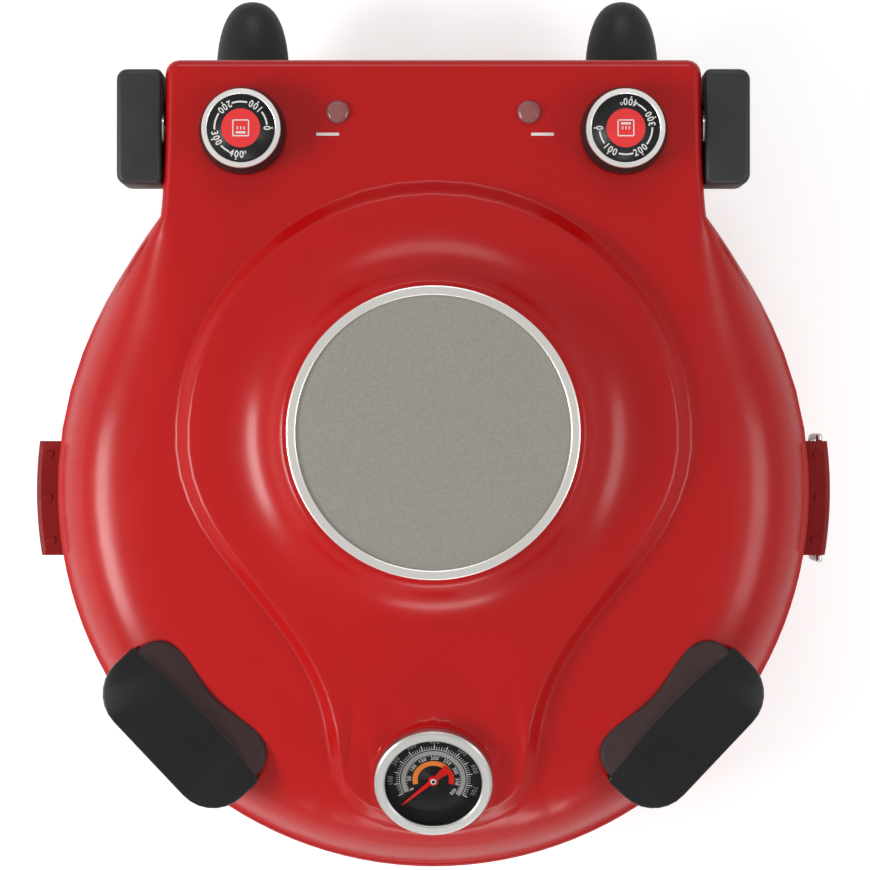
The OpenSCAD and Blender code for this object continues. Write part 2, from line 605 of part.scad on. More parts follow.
boss_r = gauge_r + 1.1;
boss_in = gauge_r - 1.2;
boss_h = 10.5;
screw_u = handle_in + 6.1;
screw_v = 24;
screw_r = 2.2;
screw_head_r = 4.2;
screw_head_t = 2;
screw_end = 117;
// Height of the screws' seats inside the lid, below the shoulder's inner face.
screw_seat = lookup(lid_r - norm([screw_u, screw_v]) - screw_head_r, dome) - 1.35 * lid_wall - 0.2;
module at_handle() rotate([0, 0, -90 + handle_az]) children();
module handle_bores(r, z0, z1) for (v = [-screw_v, screw_v]) translate([screw_u, v, z0]) cylinder(r = r, h = z1 - z0);
module lid_shell() color(red) place() difference() {
    union() {
        lid_skin();
        intersection() {
            at_gauge() translate([0, 0, -gauge_bezel_h - boss_h]) cylinder(r = boss_r, h = boss_h);
            translate([-50, gauge_y - 50, 112]) cube([100, 100, 60]);
        }
    }
    at_gauge() translate([0, 0, -60]) cylinder(r = boss_in, h = 90);
    both() {
        translate([knob_x, knob_y, 100]) cylinder(r = shaft_r + 1.5, h = 40);
        translate([lamp_x, lamp_y, 100]) cylinder(r = lamp_r - 1, h = 40);
        along_x(deck_hw - 20, deck_hw + 5, hinge_y, hinge_z, pin_r + 2);
        at_handle() handle_bores(screw_r + 0.1, 90, screw_end + 1);
    }
}

liner_r = pan_r + 3;
liner_top = 111;
liner_side = liner_top - 13;
liner_knee = [liner_r - 10, liner_top - 6];
liner_flat = liner_r - 28;
module lid_liner() color([0.72, 0.72, 0.70]) place() difference() {
    union() {
        rotate_extrude() polygon([[liner_r - pan_t, rim_z + 0.6], [liner_r, rim_z + 0.6], [liner_r, liner_side],
            liner_knee, [liner_flat, liner_top], [0, liner_top], [0, liner_top - pan_t],
            [liner_flat, liner_top - pan_t], liner_knee - [0.4, pan_t], [liner_r - pan_t, liner_side - 0.6]]);
        translate([0, window_y, liner_top]) cylinder(r = window_open_r + 1.5, h = window_z - 3.8 - liner_top);
    }
    translate([0, window_y, 0]) cylinder(r = window_open_r + 0.5, h = 300);
    at_gauge() translate([0, 0, -60]) cylinder(r = 4, h = 48);
    both() along_y(leg_x, 120, 190, up_ring_z, tube_r);
}
module upper_element() color([0.25, 0.24, 0.23]) place() heating_tube(up_ring_r, up_ring_z, leg_out, tube_r);
module upper_clips() color(steel) place() for (a = [20, 160, 225, 315]) difference() {
    rotate([0, 0, a]) translate([up_ring_r - 5, -5, up_ring_z]) cube([10, 10, liner_top - pan_t - up_ring_z]);
    heating_tube(up_ring_r, up_ring_z, leg_out, tube_r);
}

seal_t = 1;
lip_t = 1.2;
pane_r = 66.6;
module window_glass() color([0.45, 0.44, 0.41]) place() translate([0, window_y, window_z + seal_t]) cylinder(r = pane_r, h = pane_t);
module window_seal() color(black) place() translate([0, window_y, window_z]) ring(pane_r - 0.2, window_ring_in, seal_t);
module window_bezel() color(steel) place() translate([0, window_y, window_z]) {
    top = seal_t + pane_t + lip_t;
    rotate_extrude() polygon([[pane_r + 0.2, 0], [window_ring_r, 0], [window_ring_r, top - 0.5], [window_ring_r - 0.5, top],
        [window_ring_in + 0.6, top], [window_ring_in, top - 0.6], [window_ring_in, top - lip_t], [pane_r + 0.2, top - lip_t]]);
}
module window_retainer() color(steel) place() translate([0, window_y, window_z - lid_wall - 1.6]) ring(70, window_open_r + 0.5, 1.6);

case_depth = 5;
module gauge_case() color(steel) place() at_gauge() {
    rotate_extrude() polygon([[0, -gauge_bezel_h - case_depth], [boss_in - shell_fit, -gauge_bezel_h - case_depth],
        [boss_in - shell_fit, -gauge_bezel_h], [25.5, -gauge_bezel_h], [25.5, -6.2], [23, -6.2],
        [23, -gauge_bezel_h - case_depth + 1], [0, -gauge_bezel_h - case_depth + 1]]);
    translate([0, 0, -48]) cylinder(r = 2.6, h = 48 - gauge_bezel_h - case_depth);
}
module gauge_bezel() color(steel) place() at_gauge() rotate_extrude() polygon([[24.9, -gauge_bezel_h], [gauge_r, -gauge_bezel_h],
    [gauge_r, -1], [gauge_r - 1, 0], [gauge_face_r + 0.9, 0], [gauge_face_r, -0.5], [gauge_face_r, -1], [24.9, -1]]);
module gauge_dial() color(black) place() at_gauge() {
    translate([0, 0, -6.2]) cylinder(r = 25.3, h = 1);
    translate([0, 0, -5.2]) cylinder(r = 1.6, h = 0.5);
    translate([0, 0, -4.7]) cylinder(r = 0.8, h = 1.8);
}
module gauge_glass() color([0.9, 0.92, 0.92]) place() at_gauge() translate([0, 0, -2.2]) cylinder(r = 24.7, h = 1.2);
module gauge_needle() color([0.8, 0.1, 0.05]) place() at_gauge() translate([0, 0, -4.65]) rotate([0, 0, needle_rest]) difference() {
    union() {
        cylinder(r = 2.4, h = 1.4);
        linear_extrude(0.6) polygon([[needle_len, -0.25], [needle_len, 0.25], [0, 1.1], [-needle_tail, 2.2], [-needle_tail, -2.2], [0, -1.1]]);
    }
    translate([0, 0, -1]) cylinder(r = 0.8 + run_clear, h = 5);
}

// Handle: a grip over the edge, flat on top, with a ramped foot seated on the shoulder.
grip_small = 2.6;
ramp_rise = 0.2;
ramp_low = 119.4;
ramp_hl = 41.8;
ramp_waist = 27.6;
// A closed outline moved inward by s.
function inward(line, s) = let (n = len(line)) [for (i = [0:n - 1])
    let (t = line[(i + 1) % n] - line[(i + n - 1) % n]) line[i] + s * [-t[1], t[0]] / norm(t)];
function in_edge(v) = handle_in - handle_bulge * (1 - pow(v / handle_hl, 2));
grip_line = let (big = handle_out - handle_corner, side = handle_hl - handle_corner, small = handle_hl - grip_small) concat(
    arc([big, -side], handle_corner, 270, 360, 7),
    arc([big, side], handle_corner, 0, 90, 7),
    arc([handle_in + grip_small, small], grip_small, 90, 180, 3),
    [for (i = [1:9]) let (v = small * (1 - i / 5)) [in_edge(v), v]],
    arc([handle_in + grip_small, -small], grip_small, 180, 270, 3));
// Inner side of the foot: round corners, then a waist that bends away from the window.
ramp_side = let (a = handle_foot_in) concat(
    [for (i = [0:8]) bezier([[a + 11.1, ramp_hl], [a + 3, ramp_hl + 0.2], [a - 3, ramp_hl - 5], [a - 3.6, ramp_waist]], i / 8)],
    [for (i = [1:6]) bezier([[a - 3.6, ramp_waist], [a - 3.8, 19], [a + 0.1, 10], [a + 0.1, 0]], i / 6)]);
ramp_last = len(ramp_side) - 2;
ramp_outline = concat([[handle_in + 1.6, -ramp_hl], [handle_in + 1.6, ramp_hl]], ramp_side,
    [for (i = [ramp_last:-1:0]) [ramp_side[i][0], -ramp_side[i][1]]]);
function ramped(line, drop) = [for (p = line) [p[0], p[1], ramp_low + ramp_rise * (p[0] - handle_foot_in) - drop]];
module right_handle_at() difference() {
    at_handle() difference() {
        union() {
            loft([for (s = [[0, 2.2], [1.4, 0.6], [3.2, 0], [handle_t - 1.6, 0], [handle_t - 0.5, 0.35], [handle_t, 1.2]])
                at_height(inward(grip_line, s[1]), handle_z - handle_t + s[0])]);
            loft([at_height(ramp_outline, screw_seat), ramped(ramp_outline, 1.6), ramped(inward(ramp_outline, 0.5), 0.5),
                ramped(inward(ramp_outline, 1.8), 0)]);
        }
        handle_bores(screw_r, 80, screw_end);
    }
    shoulder_block(4, 22, 30);
}
module right_handle() color(black) place() right_handle_at();
module left_handle() color(black) place() mirror([1, 0, 0]) right_handle_at();
module handle_screws() color(steel) place() both() at_handle() {
    handle_bores(screw_r, screw_seat, screw_end);
    handle_bores(screw_head_r, screw_seat - screw_head_t, screw_seat);
}

module hinge_brackets() color(steel) place() both() difference() {
    translate([bracket_in, hinge_y - 16, hinge_z - 11]) cube([bracket_t, 32, 18]);
    along_x(bracket_in - 1, deck_hw, hinge_y, hinge_z, pin_r + run_clear);
}

cover_z = 92;
module control_cover() color([0.60, 0.60, 0.58]) place() difference() {
    intersection() {
        translate([0, 100, cover_z]) slab(2 * (deck_hw - lid_wall), 2 * (deck_rear - lid_wall - 100), 9, 1.4);
        translate([-200, 60, 0]) cube([400, 200, 200]);
    }
    translate([-200, 0, 0]) cube([400, 126, 200]);
    cylinder(r = liner_r, h = 300);
    both() for (y = [140, 196]) translate([113, y, 80]) cylinder(r = 2, h = 30);
}

module thermostat() difference() {
    union() {
        translate([knob_x - 17, knob_y - 14, cover_z + 1.4]) cube([34, 28, 21]);
        translate([knob_x, knob_y, cover_z + 22.4]) cylinder(r = 5, h = deck_z - lid_wall - cover_z - 22.4);
    }
    translate([knob_x, knob_y, cover_z + 8]) cylinder(r = shaft_r + run_clear, h = 60);
}
module right_thermostat() color([0.75, 0.72, 0.64]) place() thermostat();
module left_thermostat() color([0.75, 0.72, 0.64]) place() mirror([1, 0, 0]) thermostat();

module lamp() {
    translate([lamp_x, lamp_y, deck_z]) rotate_extrude() polygon([[0, 0], [lamp_r, 0], [lamp_r, 0.8], [lamp_r - 0.5, 1.6], [lamp_r - 1.6, 2.3], [0, 2.6]]);
    translate([lamp_x, lamp_y, 104]) cylinder(r = lamp_r - 1.1, h = deck_z - 104);
}
module right_lamp() color([0.85, 0.62, 0.62]) place() lamp();
module left_lamp() color([0.85, 0.62, 0.62]) place() mirror([1, 0, 0]) lamp();

// Knob: fluted skirt, metal ring, black dial and a centre disc, on its own shaft.
knob_z0 = deck_z + knob_gap;
knob_top = deck_z + knob_h;
ring_t = 1.2;
module at_knob(s) translate([s * knob_x, knob_y, 0]) children();
module knob_body() difference() {
    rotate_extrude() polygon([[0, knob_z0], [knob_skirt_r, knob_z0], [knob_skirt_r, knob_z0 + 3], [knob_ring_r + 0.6, knob_top - 2.6],
        [knob_ring_r - 0.2, knob_top - ring_t], [knob_dial_r, knob_top - ring_t], [knob_dial_r, knob_top - 0.2], [0, knob_top - 0.2]]);
    for (a = [0:360 / knob_flutes:359]) rotate([0, 0, a]) translate([knob_skirt_r + 0.5, 0, knob_z0 - 1]) cylinder(r = 0.9, h = knob_h - 4.5);
    translate([0, 0, knob_z0 - 1]) cylinder(r = shaft_r, h = 9);
}
module knob_ring() translate([0, 0, knob_top - ring_t]) rotate_extrude() polygon([[knob_dial_r, 0], [knob_ring_r - 0.2, 0],
    [knob_ring_r, 0.3], [knob_ring_r - 0.3, ring_t - 0.2], [knob_dial_r + 0.4, ring_t + 0.1], [knob_dial_r, ring_t - 0.2]]);
module knob_disc() translate([0, 0, knob_top - 0.2]) cylinder(r = knob_disc_r, h = 0.3);
module shaft() translate([0, 0, cover_z + 9]) cylinder(r = shaft_r, h = knob_z0 + 8 - cover_z - 9);
module left_knob_body() color(black) place() at_knob(-1) knob_body();
module right_knob_body() color(black) place() at_knob(1) knob_body();
module left_knob_ring() color(steel) place() at_knob(-1) knob_ring();
module right_knob_ring() color(steel) place() at_knob(1) knob_ring();
module left_knob_disc() color(red) place() at_knob(-1) knob_disc();
module right_knob_disc() color(red) place() at_knob(1) knob_disc();
module left_shaft() color(steel) place() at_knob(-1) shaft();
module right_shaft() color(steel) place() at_knob(1) shaft();

// ---------------------------------------------------------------- nodes

base_shell();
left_grip();
right_grip();
grip_rivets();
base_liner();
baking_stone();
stone_supports();
lower_element();
lower_clips();
rear_plate();
bottom_cover();
cover_screws();
feet();
left_rear_peg();
right_rear_peg();
left_hinge_tower();
right_hinge_tower();
hinge_pins();
cord_gland();
terminal_block();
latch_bail();
lid_shell();
lid_liner();
upper_element();
upper_clips();
window_glass();
window_bezel();
window_seal();
window_retainer();
gauge_case();
gauge_bezel();
gauge_dial();
gauge_glass();
gauge_needle();
left_handle();
right_handle();
handle_screws();
hinge_brackets();
control_cover();
left_thermostat();
right_thermostat();
left_lamp();
right_lamp();
left_knob_body();
left_knob_ring();
left_knob_disc();
left_shaft();
right_knob_body();
right_knob_ring();
right_knob_disc();
right_shaft();
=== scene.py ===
"""Looks of the countertop pizza oven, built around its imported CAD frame.

Lengths in the classes are millimetres in the part's own axes, measured from the rim's centre,
and become metres in the row frame when a piece is made.
"""

import logging
import math
from dataclasses import dataclass, field
from enum import Enum
from typing import Iterable, Protocol, Sequence

import bmesh
import bpy
from mathutils import Matrix, Vector


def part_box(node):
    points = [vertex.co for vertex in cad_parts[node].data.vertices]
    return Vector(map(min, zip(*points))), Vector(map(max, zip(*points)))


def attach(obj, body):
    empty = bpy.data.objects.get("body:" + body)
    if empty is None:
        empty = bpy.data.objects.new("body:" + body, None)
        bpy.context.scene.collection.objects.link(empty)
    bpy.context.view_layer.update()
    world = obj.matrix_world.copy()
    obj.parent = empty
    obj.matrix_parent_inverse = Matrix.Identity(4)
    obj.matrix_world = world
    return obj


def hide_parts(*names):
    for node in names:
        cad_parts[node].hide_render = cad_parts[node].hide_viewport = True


LOG = logging.getLogger("pizza_oven")
MM = 0.001
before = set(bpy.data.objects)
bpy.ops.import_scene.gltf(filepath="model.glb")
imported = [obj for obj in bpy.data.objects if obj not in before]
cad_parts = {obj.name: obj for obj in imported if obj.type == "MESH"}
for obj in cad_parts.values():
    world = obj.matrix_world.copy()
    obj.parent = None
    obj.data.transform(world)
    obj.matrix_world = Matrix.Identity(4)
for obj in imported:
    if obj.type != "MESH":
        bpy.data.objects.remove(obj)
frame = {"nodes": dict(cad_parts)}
RIM_LOW, RIM_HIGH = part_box("lid_liner")
SHIFT_Y = (RIM_LOW[1] + RIM_HIGH[1]) / 2 / MM

Colour = tuple[int, int, int]
Linear = tuple[float, float, float, float]
Point = tuple[float, float, float]
Pair = tuple[float, float]
Span = Pair
Socket = bpy.types.NodeSocket
Shape = bmesh.types.BMesh

WHOLE: Span = (0, 1)
MIDDLE: Span = (0.3, 0.7)
WELD = 1e-6
WELD_SPUN = 1e-4
WELD_TEXT = 1e-5
LEVEL_NEAR = 2e-6
JOIN_FLAT = math.radians(8)
JOIN_SKEW = math.radians(40)
PRINT_THICK = 0.06
ARC_STEP = 4


def linear(red: int, green: int, blue: int) -> Linear:
    """Turn a colour of 0 to 255 steps into Blender's linear colour.

    Args:
        red: Red step.
        green: Green step.
        blue: Blue step.

    Returns:
        The linear colour with full alpha.
    """
    steps = []
    for value in (red, green, blue):
        v = value / 255
        steps.append(v / 12.92 if v <= 0.04045 else ((v + 0.055) / 1.055) ** 2.4)
    return (steps[0], steps[1], steps[2], 1.0)


def shade(colour: Linear, share: float, lift: float = 0.0) -> Linear:
    """Darken or lighten a linear colour.

    Args:
        colour: The colour.
        share: Share of each step that is kept.
        lift: Amount added to each step.

    Returns:
        The new colour with full alpha.
    """
    red, green, blue = (min(1.0, step * share + lift) for step in colour[:3])
    return (red, green, blue, 1.0)


def row(x: float, y: float, z: float) -> Vector:
    """Turn a point in the part's millimetres into a row frame point in metres."""
    return Vector((x, y + SHIFT_Y, z)) * MM


def linked(name: str, data: bpy.types.ID) -> bpy.types.Object:
    """Make an object around some data and link it to the scene.

    Args:
        name: Name of the object.
        data: Mesh, lamp or camera data.

    Returns:
        The object.
    """
    obj = bpy.data.objects.new(name, data)
    bpy.context.scene.collection.objects.link(obj)
    return obj


def meshed(name: str, bm: Shape) -> bpy.types.Object:
    """Turn a bmesh in metres into an object, and free it.

    Args:
        name: Name of the object.
        bm: The mesh.

    Returns:
        The object.
    """
    mesh = bpy.data.meshes.new(name)
    bm.to_mesh(mesh)
    bm.free()
    return linked(name, mesh)


# ------------------------------------------------------------------ finishes


class Graph:
    """A material's node tree under construction."""

    def __init__(self, name: str) -> None:
        """Start a material with one Principled shader.

        Args:
            name: Name of the material.
        """
        self.material = bpy.data.materials.new(name)
        self.material.use_nodes = True
        self.tree = self.material.node_tree
        self.shader = self.tree.nodes["Principled BSDF"]
        self.coords = self.tree.nodes.new("ShaderNodeTexCoord").outputs["Object"]

    def node(self, kind: str, **settings: object) -> bpy.types.Node:
        """Add a node and set its properties.

        Args:
            kind: Node type without the ShaderNode prefix.
            **settings: Properties of the node.

        Returns:
            The new node.
        """
        made = self.tree.nodes.new("ShaderNode" + kind)
        for key, value in settings.items():
            setattr(made, key, value)
        return made

    def link(self, out: Socket, to: Socket) -> None:
        """Join two sockets."""
        self.tree.links.new(out, to)

    def feed(self, name: str, out: Socket) -> None:
        """Join a socket to an input of the shader."""
        self.link(out, self.shader.inputs[name])

    def plain(self, **values: object) -> None:
        """Set inputs of the shader that are the same all over, by name with _ for spaces.

        Args:
            **values: Value for each input.
        """
        for key, value in values.items():
            self.shader.inputs[key.replace("_", " ")].default_value = value

    def moved(self, centre: Vector, scale: Point = (1, 1, 1)) -> Socket:
        """Give object coordinates about a centre, stretched.

        Args:
            centre: Centre of the pattern in the row frame.
            scale: Stretch along each axis.

        Returns:
            The vector socket.
        """
        back = self.node("VectorMath", operation="SUBTRACT")
        back.inputs[1].default_value = centre
        self.link(self.coords, back.inputs[0])
        mapping = self.node("Mapping", vector_type="POINT")
        mapping.inputs["Scale"].default_value = scale
        self.link(back.outputs[0], mapping.inputs["Vector"])
        return mapping.outputs[0]

    def noise(self, scale: float, detail: float, vector: Socket | None = None) -> Socket:
        """Add a noise texture.

        Args:
            scale: Cells per metre.
            detail: Octaves.
            vector: Coordinates, or the object's own when left out.

        Returns:
            The factor socket.
        """
        texture = self.node("TexNoise")
        texture.inputs["Scale"].default_value = scale
        texture.inputs["Detail"].default_value = detail
        self.link(vector or self.coords, texture.inputs["Vector"])
        return texture.outputs[0]

    def ramp(self, factor: Socket, span: Span, given: Span) -> Socket:
        """Map a factor between two values to a new range.

        Args:
            factor: Socket to map.
            span: Range that is read.
            given: Range that is given.

        Returns:
            The mapped socket.
        """
        mapped = self.node("MapRange")
        for index, value in enumerate((*span, *given), start=1):
            mapped.inputs[index].default_value = value
        self.link(factor, mapped.inputs[0])
        return mapped.outputs[0]

    def paint(self, pattern: Socket, dark: Linear, light: Linear, span: Span = MIDDLE) -> None:
        """Colour the surface by a pattern.

        Args:
            pattern: The pattern's socket.
            dark: Colour at the low end.
            light: Colour at the high end.
            span: Range of the pattern between the two.
        """
        mix = self.node("Mix", data_type="RGBA")
        mix.inputs[6].default_value = dark
        mix.inputs[7].default_value = light
        self.link(self.ramp(pattern, span, WHOLE), mix.inputs[0])
        self.feed("Base Color", mix.outputs[2])

    def roughen(self, pattern: Socket, low: float, high: float, span: Span = MIDDLE) -> None:
        """Vary the roughness by a pattern.

        Args:
            pattern: The pattern's socket.
            low: Roughness at the low end.
            high: Roughness at the high end.
            span: Range of the pattern between the two.
        """
        self.feed("Roughness", self.ramp(pattern, span, (low, high)))

    def bump(self, height: Socket, strength: float, depth: float) -> None:
        """Raise the surface by a height pattern.

        Args:
            height: Height socket.
            strength: Share of the bump.
            depth: Height of the pattern in metres.
        """
        made = self.node("Bump")
        made.inputs["Strength"].default_value = strength
        made.inputs["Distance"].default_value = depth
        self.link(height, made.inputs["Height"])
        self.feed("Normal", made.outputs[0])


@dataclass(frozen=True)
class Finish:
    """A finish with its name and its main colour."""

    name: str
    colour: Colour

    def dress(self, g: Graph, base: Linear) -> None:
        """Set up the shader, which each kind of finish does in its own way."""
        raise NotImplementedError

    def make(self) -> bpy.types.Material:
        """Build the material.

        Returns:
            The material.
        """
        g = Graph(self.name)
        self.dress(g, linear(*self.colour))
        return g.material


@dataclass(frozen=True)
class GlossPaint(Finish):
    """Stoved gloss paint on pressed sheet, with a faint orange peel."""

    roughness: float = 0.3
    shine: float = 0.2
    coat: float = 0.2
    coat_roughness: float = 0.2
    coat_ior: float = 1.5
    deep: float = 0.94
    cloud_scale: float = 14
    smear_scale: float = 60
    peel: float = 0.05
    peel_scale: float = 420
    peel_depth: float = 0.0002

    def dress(self, g: Graph, base: Linear) -> None:
        """Set up the shader.

        Args:
            g: Graph of the material.
            base: Main colour.
        """
        g.paint(g.noise(self.cloud_scale, 2), shade(base, self.deep), base)
        g.plain(Coat_Weight=self.coat, Coat_Roughness=self.coat_roughness, Coat_IOR=self.coat_ior)
        g.plain(Specular_IOR_Level=self.shine)
        g.roughen(g.noise(self.smear_scale, 3), self.roughness - 0.03, self.roughness + 0.04)
        g.bump(g.noise(self.peel_scale, 2), self.peel, self.peel_depth)


@dataclass(frozen=True)
class MouldedPlastic(Finish):
    """Moulded plastic with a fine spark-eroded grain."""

    roughness: float = 0.45
    grain: float = 0.25
    grain_scale: float = 1600
    grain_depth: float = 0.0001
    shine: float = 0.3
    coat: float = 0.0
    coat_roughness: float = 0.15
    cloud_scale: float = 35
    cloud_span: Span = (0.35, 0.7)

    def dress(self, g: Graph, base: Linear) -> None:
        """Set up the shader.

        Args:
            g: Graph of the material.
            base: Main colour.
        """
        g.paint(g.noise(self.cloud_scale, 4), base, shade(base, 1.18, 0.002), self.cloud_span)
        g.roughen(g.noise(self.grain_scale * 0.4, 2), self.roughness - 0.05, self.roughness + 0.05)
        g.plain(Coat_Weight=self.coat, Coat_Roughness=self.coat_roughness, Specular_IOR_Level=self.shine)
        g.bump(g.noise(self.grain_scale, 2), self.grain, self.grain_depth)


class Brush(Enum):
    """How a metal's fine marks run."""

    ROUND = "round"
    STRAIGHT = "straight"
    CLOUDED = "clouded"


@dataclass(frozen=True)
class BareMetal(Finish):
    """Bare or plated metal with its working marks."""

    roughness: float = 0.3
    brush: Brush = Brush.CLOUDED
    centre: Point = (0, 0, 0)
    marks: float = 0.15
    mark_depth: float = 0.00005
    mark_span: Span = (0.2, 0.8)
    line_scale: float = 900
    line_stretch: float = 0.03
    cloud_scale: float = 220
    dull: float = 0.86
    metallic: float = 1.0

    def pattern(self, g: Graph) -> Socket:
        """Make the pattern of the working marks.

        Args:
            g: Graph of the material.

        Returns:
            The pattern's socket.
        """
        centre = row(*self.centre)
        if self.brush is Brush.CLOUDED:
            return g.noise(self.cloud_scale, 4)
        if self.brush is Brush.STRAIGHT:
            return g.noise(self.line_scale, 3, g.moved(centre, scale=(self.line_stretch, 1, 1)))
        rings = g.node("TexWave", wave_type="RINGS", rings_direction="Z")
        rings.inputs["Scale"].default_value = self.line_scale
        rings.inputs["Distortion"].default_value = 2.0
        rings.inputs["Detail"].default_value = 2.0
        g.link(g.moved(centre), rings.inputs["Vector"])
        return rings.outputs["Fac"]

    def dress(self, g: Graph, base: Linear) -> None:
        """Set up the shader.

        Args:
            g: Graph of the material.
            base: Main colour.
        """
        g.plain(Metallic=self.metallic)
        pattern = self.pattern(g)
        g.paint(pattern, shade(base, self.dull), base, self.mark_span)
        g.roughen(pattern, self.roughness + 0.07, self.roughness - 0.03, self.mark_span)
        g.bump(pattern, self.marks, self.mark_depth)


@dataclass(frozen=True)
class SatinPane(Finish):
    """Heat-proof window glass with a grey satin coating on its underside."""

    speckle: float = 0.12
    speckle_scale: float = 1500
    speckle_span: Span = (0.35, 0.65)
    roughness: Span = (0.42, 0.55)
    blur_scale: float = 700
    coat: float = 0.5
    coat_roughness: float = 0.28
    grain: float = 0.18
    grain_scale: float = 1800
    grain_depth: float = 0.00006

    def dress(self, g: Graph, base: Linear) -> None:
        """Set up the shader.

        Args:
            g: Graph of the material.
            base: Main colour.
        """
        low, high = shade(base, 1 - self.speckle), shade(base, 1 + self.speckle)
        g.paint(g.noise(self.speckle_scale, 4), low, high, self.speckle_span)
        g.plain(Coat_Weight=self.coat, Coat_Roughness=self.coat_roughness)
        g.roughen(g.noise(self.blur_scale, 3), *self.roughness)
        g.bump(g.noise(self.grain_scale, 3), self.grain, self.grain_depth)


@dataclass(frozen=True)
class LensPlastic(Finish):
    """Tinted lens plastic that lets part of the light through."""

    transmission: float
    roughness: float
    ior: float = 1.45

    def dress(self, g: Graph, base: Linear) -> None:
        """Set up the shader.

        Args:
            g: Graph of the material.
            base: Main colour.
        """
        g.paint(g.noise(40, 2), shade(base, 0.93), base)
        g.plain(Transmission_Weight=self.transmission, IOR=self.ior)
        g.roughen(g.noise(300, 2), self.roughness, self.roughness + 0.02)


@dataclass(frozen=True)
class SheerPane(Finish):
    """A thin clear cover that hides almost nothing and only takes a faint shine."""

    cover: float = 0.05
    roughness: Span = (0.05, 0.08)
    ior: float = 1.45

    def dress(self, g: Graph, base: Linear) -> None:
        """Set up the shader.

        Args:
            g: Graph of the material.
            base: Main colour.
        """
        g.paint(g.noise(60, 2), shade(base, 0.95), base)
        g.plain(Alpha=self.cover, IOR=self.ior)
        g.roughen(g.noise(300, 2), *self.roughness)


@dataclass(frozen=True)
class FiredClay(Finish):
    """Fired clay or porcelain, with grit and pores."""

    roughness: float = 0.85
    grit: float = 0.4
    grit_scale: float = 700
    grit_depth: float = 0.0003
    fleck_scale: float = 260
    fleck_span: Span = (0.35, 0.62)

    def dress(self, g: Graph, base: Linear) -> None:
        """Set up the shader.

        Args:
            g: Graph of the material.
            base: Main colour.
        """
        g.paint(g.noise(self.fleck_scale, 6), shade(base, 0.78), base, self.fleck_span)
        g.roughen(g.noise(400, 3), self.roughness - 0.08, self.roughness)
        g.bump(g.noise(self.grit_scale, 5), self.grit, self.grit_depth)


RED_LACQUER = GlossPaint("red lacquer", (186, 12, 13))
BASE_LACQUER = GlossPaint("red lacquer of the base", (178, 12, 13), roughness=0.34)
# Side tabs: a deeper red than the lid, partly the moulding's own tone and partly painted shade for the
# shade under the lid's rim.
TAB_RED_WITH_SHADE = MouldedPlastic("dark red moulding with painted shade", (128, 12, 13), roughness=0.48, shine=0.2)
BLACK_MOULDING = MouldedPlastic("black moulding", (46, 46, 46), roughness=0.42)
PEG_BLACK = MouldedPlastic("black peg moulding", (32, 32, 32), roughness=0.4, shine=0.25)
GRIP_BLACK = MouldedPlastic("smooth black grip", (20, 20, 20), roughness=0.34, shine=0.25)
RAMP_BLACK = MouldedPlastic("stippled grip foot", (50, 33, 33), roughness=0.62, grain=0.9, grain_scale=900)
KNOB_BLACK = MouldedPlastic("charcoal knob", (30, 31, 31), roughness=0.36, grain=0.08, shine=0.2)
DIAL_BLACK = MouldedPlastic("black dial", (18, 18, 18), roughness=0.5, grain=0.1, shine=0.15)
KNOB_RED = MouldedPlastic("red knob centre", (226, 52, 54), roughness=0.30, grain=0.05, coat=0.2)
RUBBER = MouldedPlastic("black rubber", (34, 34, 34), roughness=0.8, grain=0.5, grain_scale=800)
SEAL_BLACK = MouldedPlastic("black seal", (20, 20, 20), roughness=0.7, grain=0.3)
BRIGHT_STEEL = BareMetal("bright plated steel", (215, 214, 211), roughness=0.16, marks=0.05)
PLAIN_STEEL = BareMetal("plain sheet steel", (176, 175, 172), roughness=0.38, brush=Brush.STRAIGHT)
LINER_METAL = BareMetal("aluminised liner", (196, 195, 191), roughness=0.34, brush=Brush.CLOUDED)
TUBE_METAL = BareMetal("heating tube", (74, 68, 62), roughness=0.5, metallic=0.9)
STONE = FiredClay("baking stone", (205, 190, 165))
PORCELAIN = FiredClay("cream porcelain", (228, 222, 208), roughness=0.35, grit=0.05)
WINDOW_PANE = SatinPane("grey satin window", (146, 143, 133))
BEZEL_STEEL = BareMetal("satin plated bezel", (200, 199, 196), roughness=0.32, marks=0.05)
CLEAR_PANE = SheerPane("clear dial glass", (40, 42, 43))
LAMP_LENS = LensPlastic("rose lamp lens", (178, 106, 106), transmission=0.35, roughness=0.14)
WHITE_PRINT = MouldedPlastic("white print", (222, 220, 216), roughness=0.5, grain=0.05)
GREY_PRINT = MouldedPlastic("grey print", (150, 150, 148), roughness=0.5, grain=0.05)
ORANGE_PRINT = MouldedPlastic("orange print", (226, 120, 36), roughness=0.5, grain=0.05)
SCARLET = MouldedPlastic("scarlet plastic", (216, 18, 12), roughness=0.4, grain=0.05, shine=0.15)


class Palette:
    """Makes each finish once and hands out its material."""

    def __init__(self) -> None:
        """Start with no materials."""
        self._made: dict[str, bpy.types.Material] = {}

    def get(self, finish: Finish) -> bpy.types.Material:
        """Give a finish's material.

        Args:
            finish: One of the finish classes.

        Returns:
            The material, built on its first use.
        """
        name = finish.name
        if name not in self._made:
            self._made[name] = finish.make()
        return self._made[name]


# ------------------------------------------------------------------ mesh work


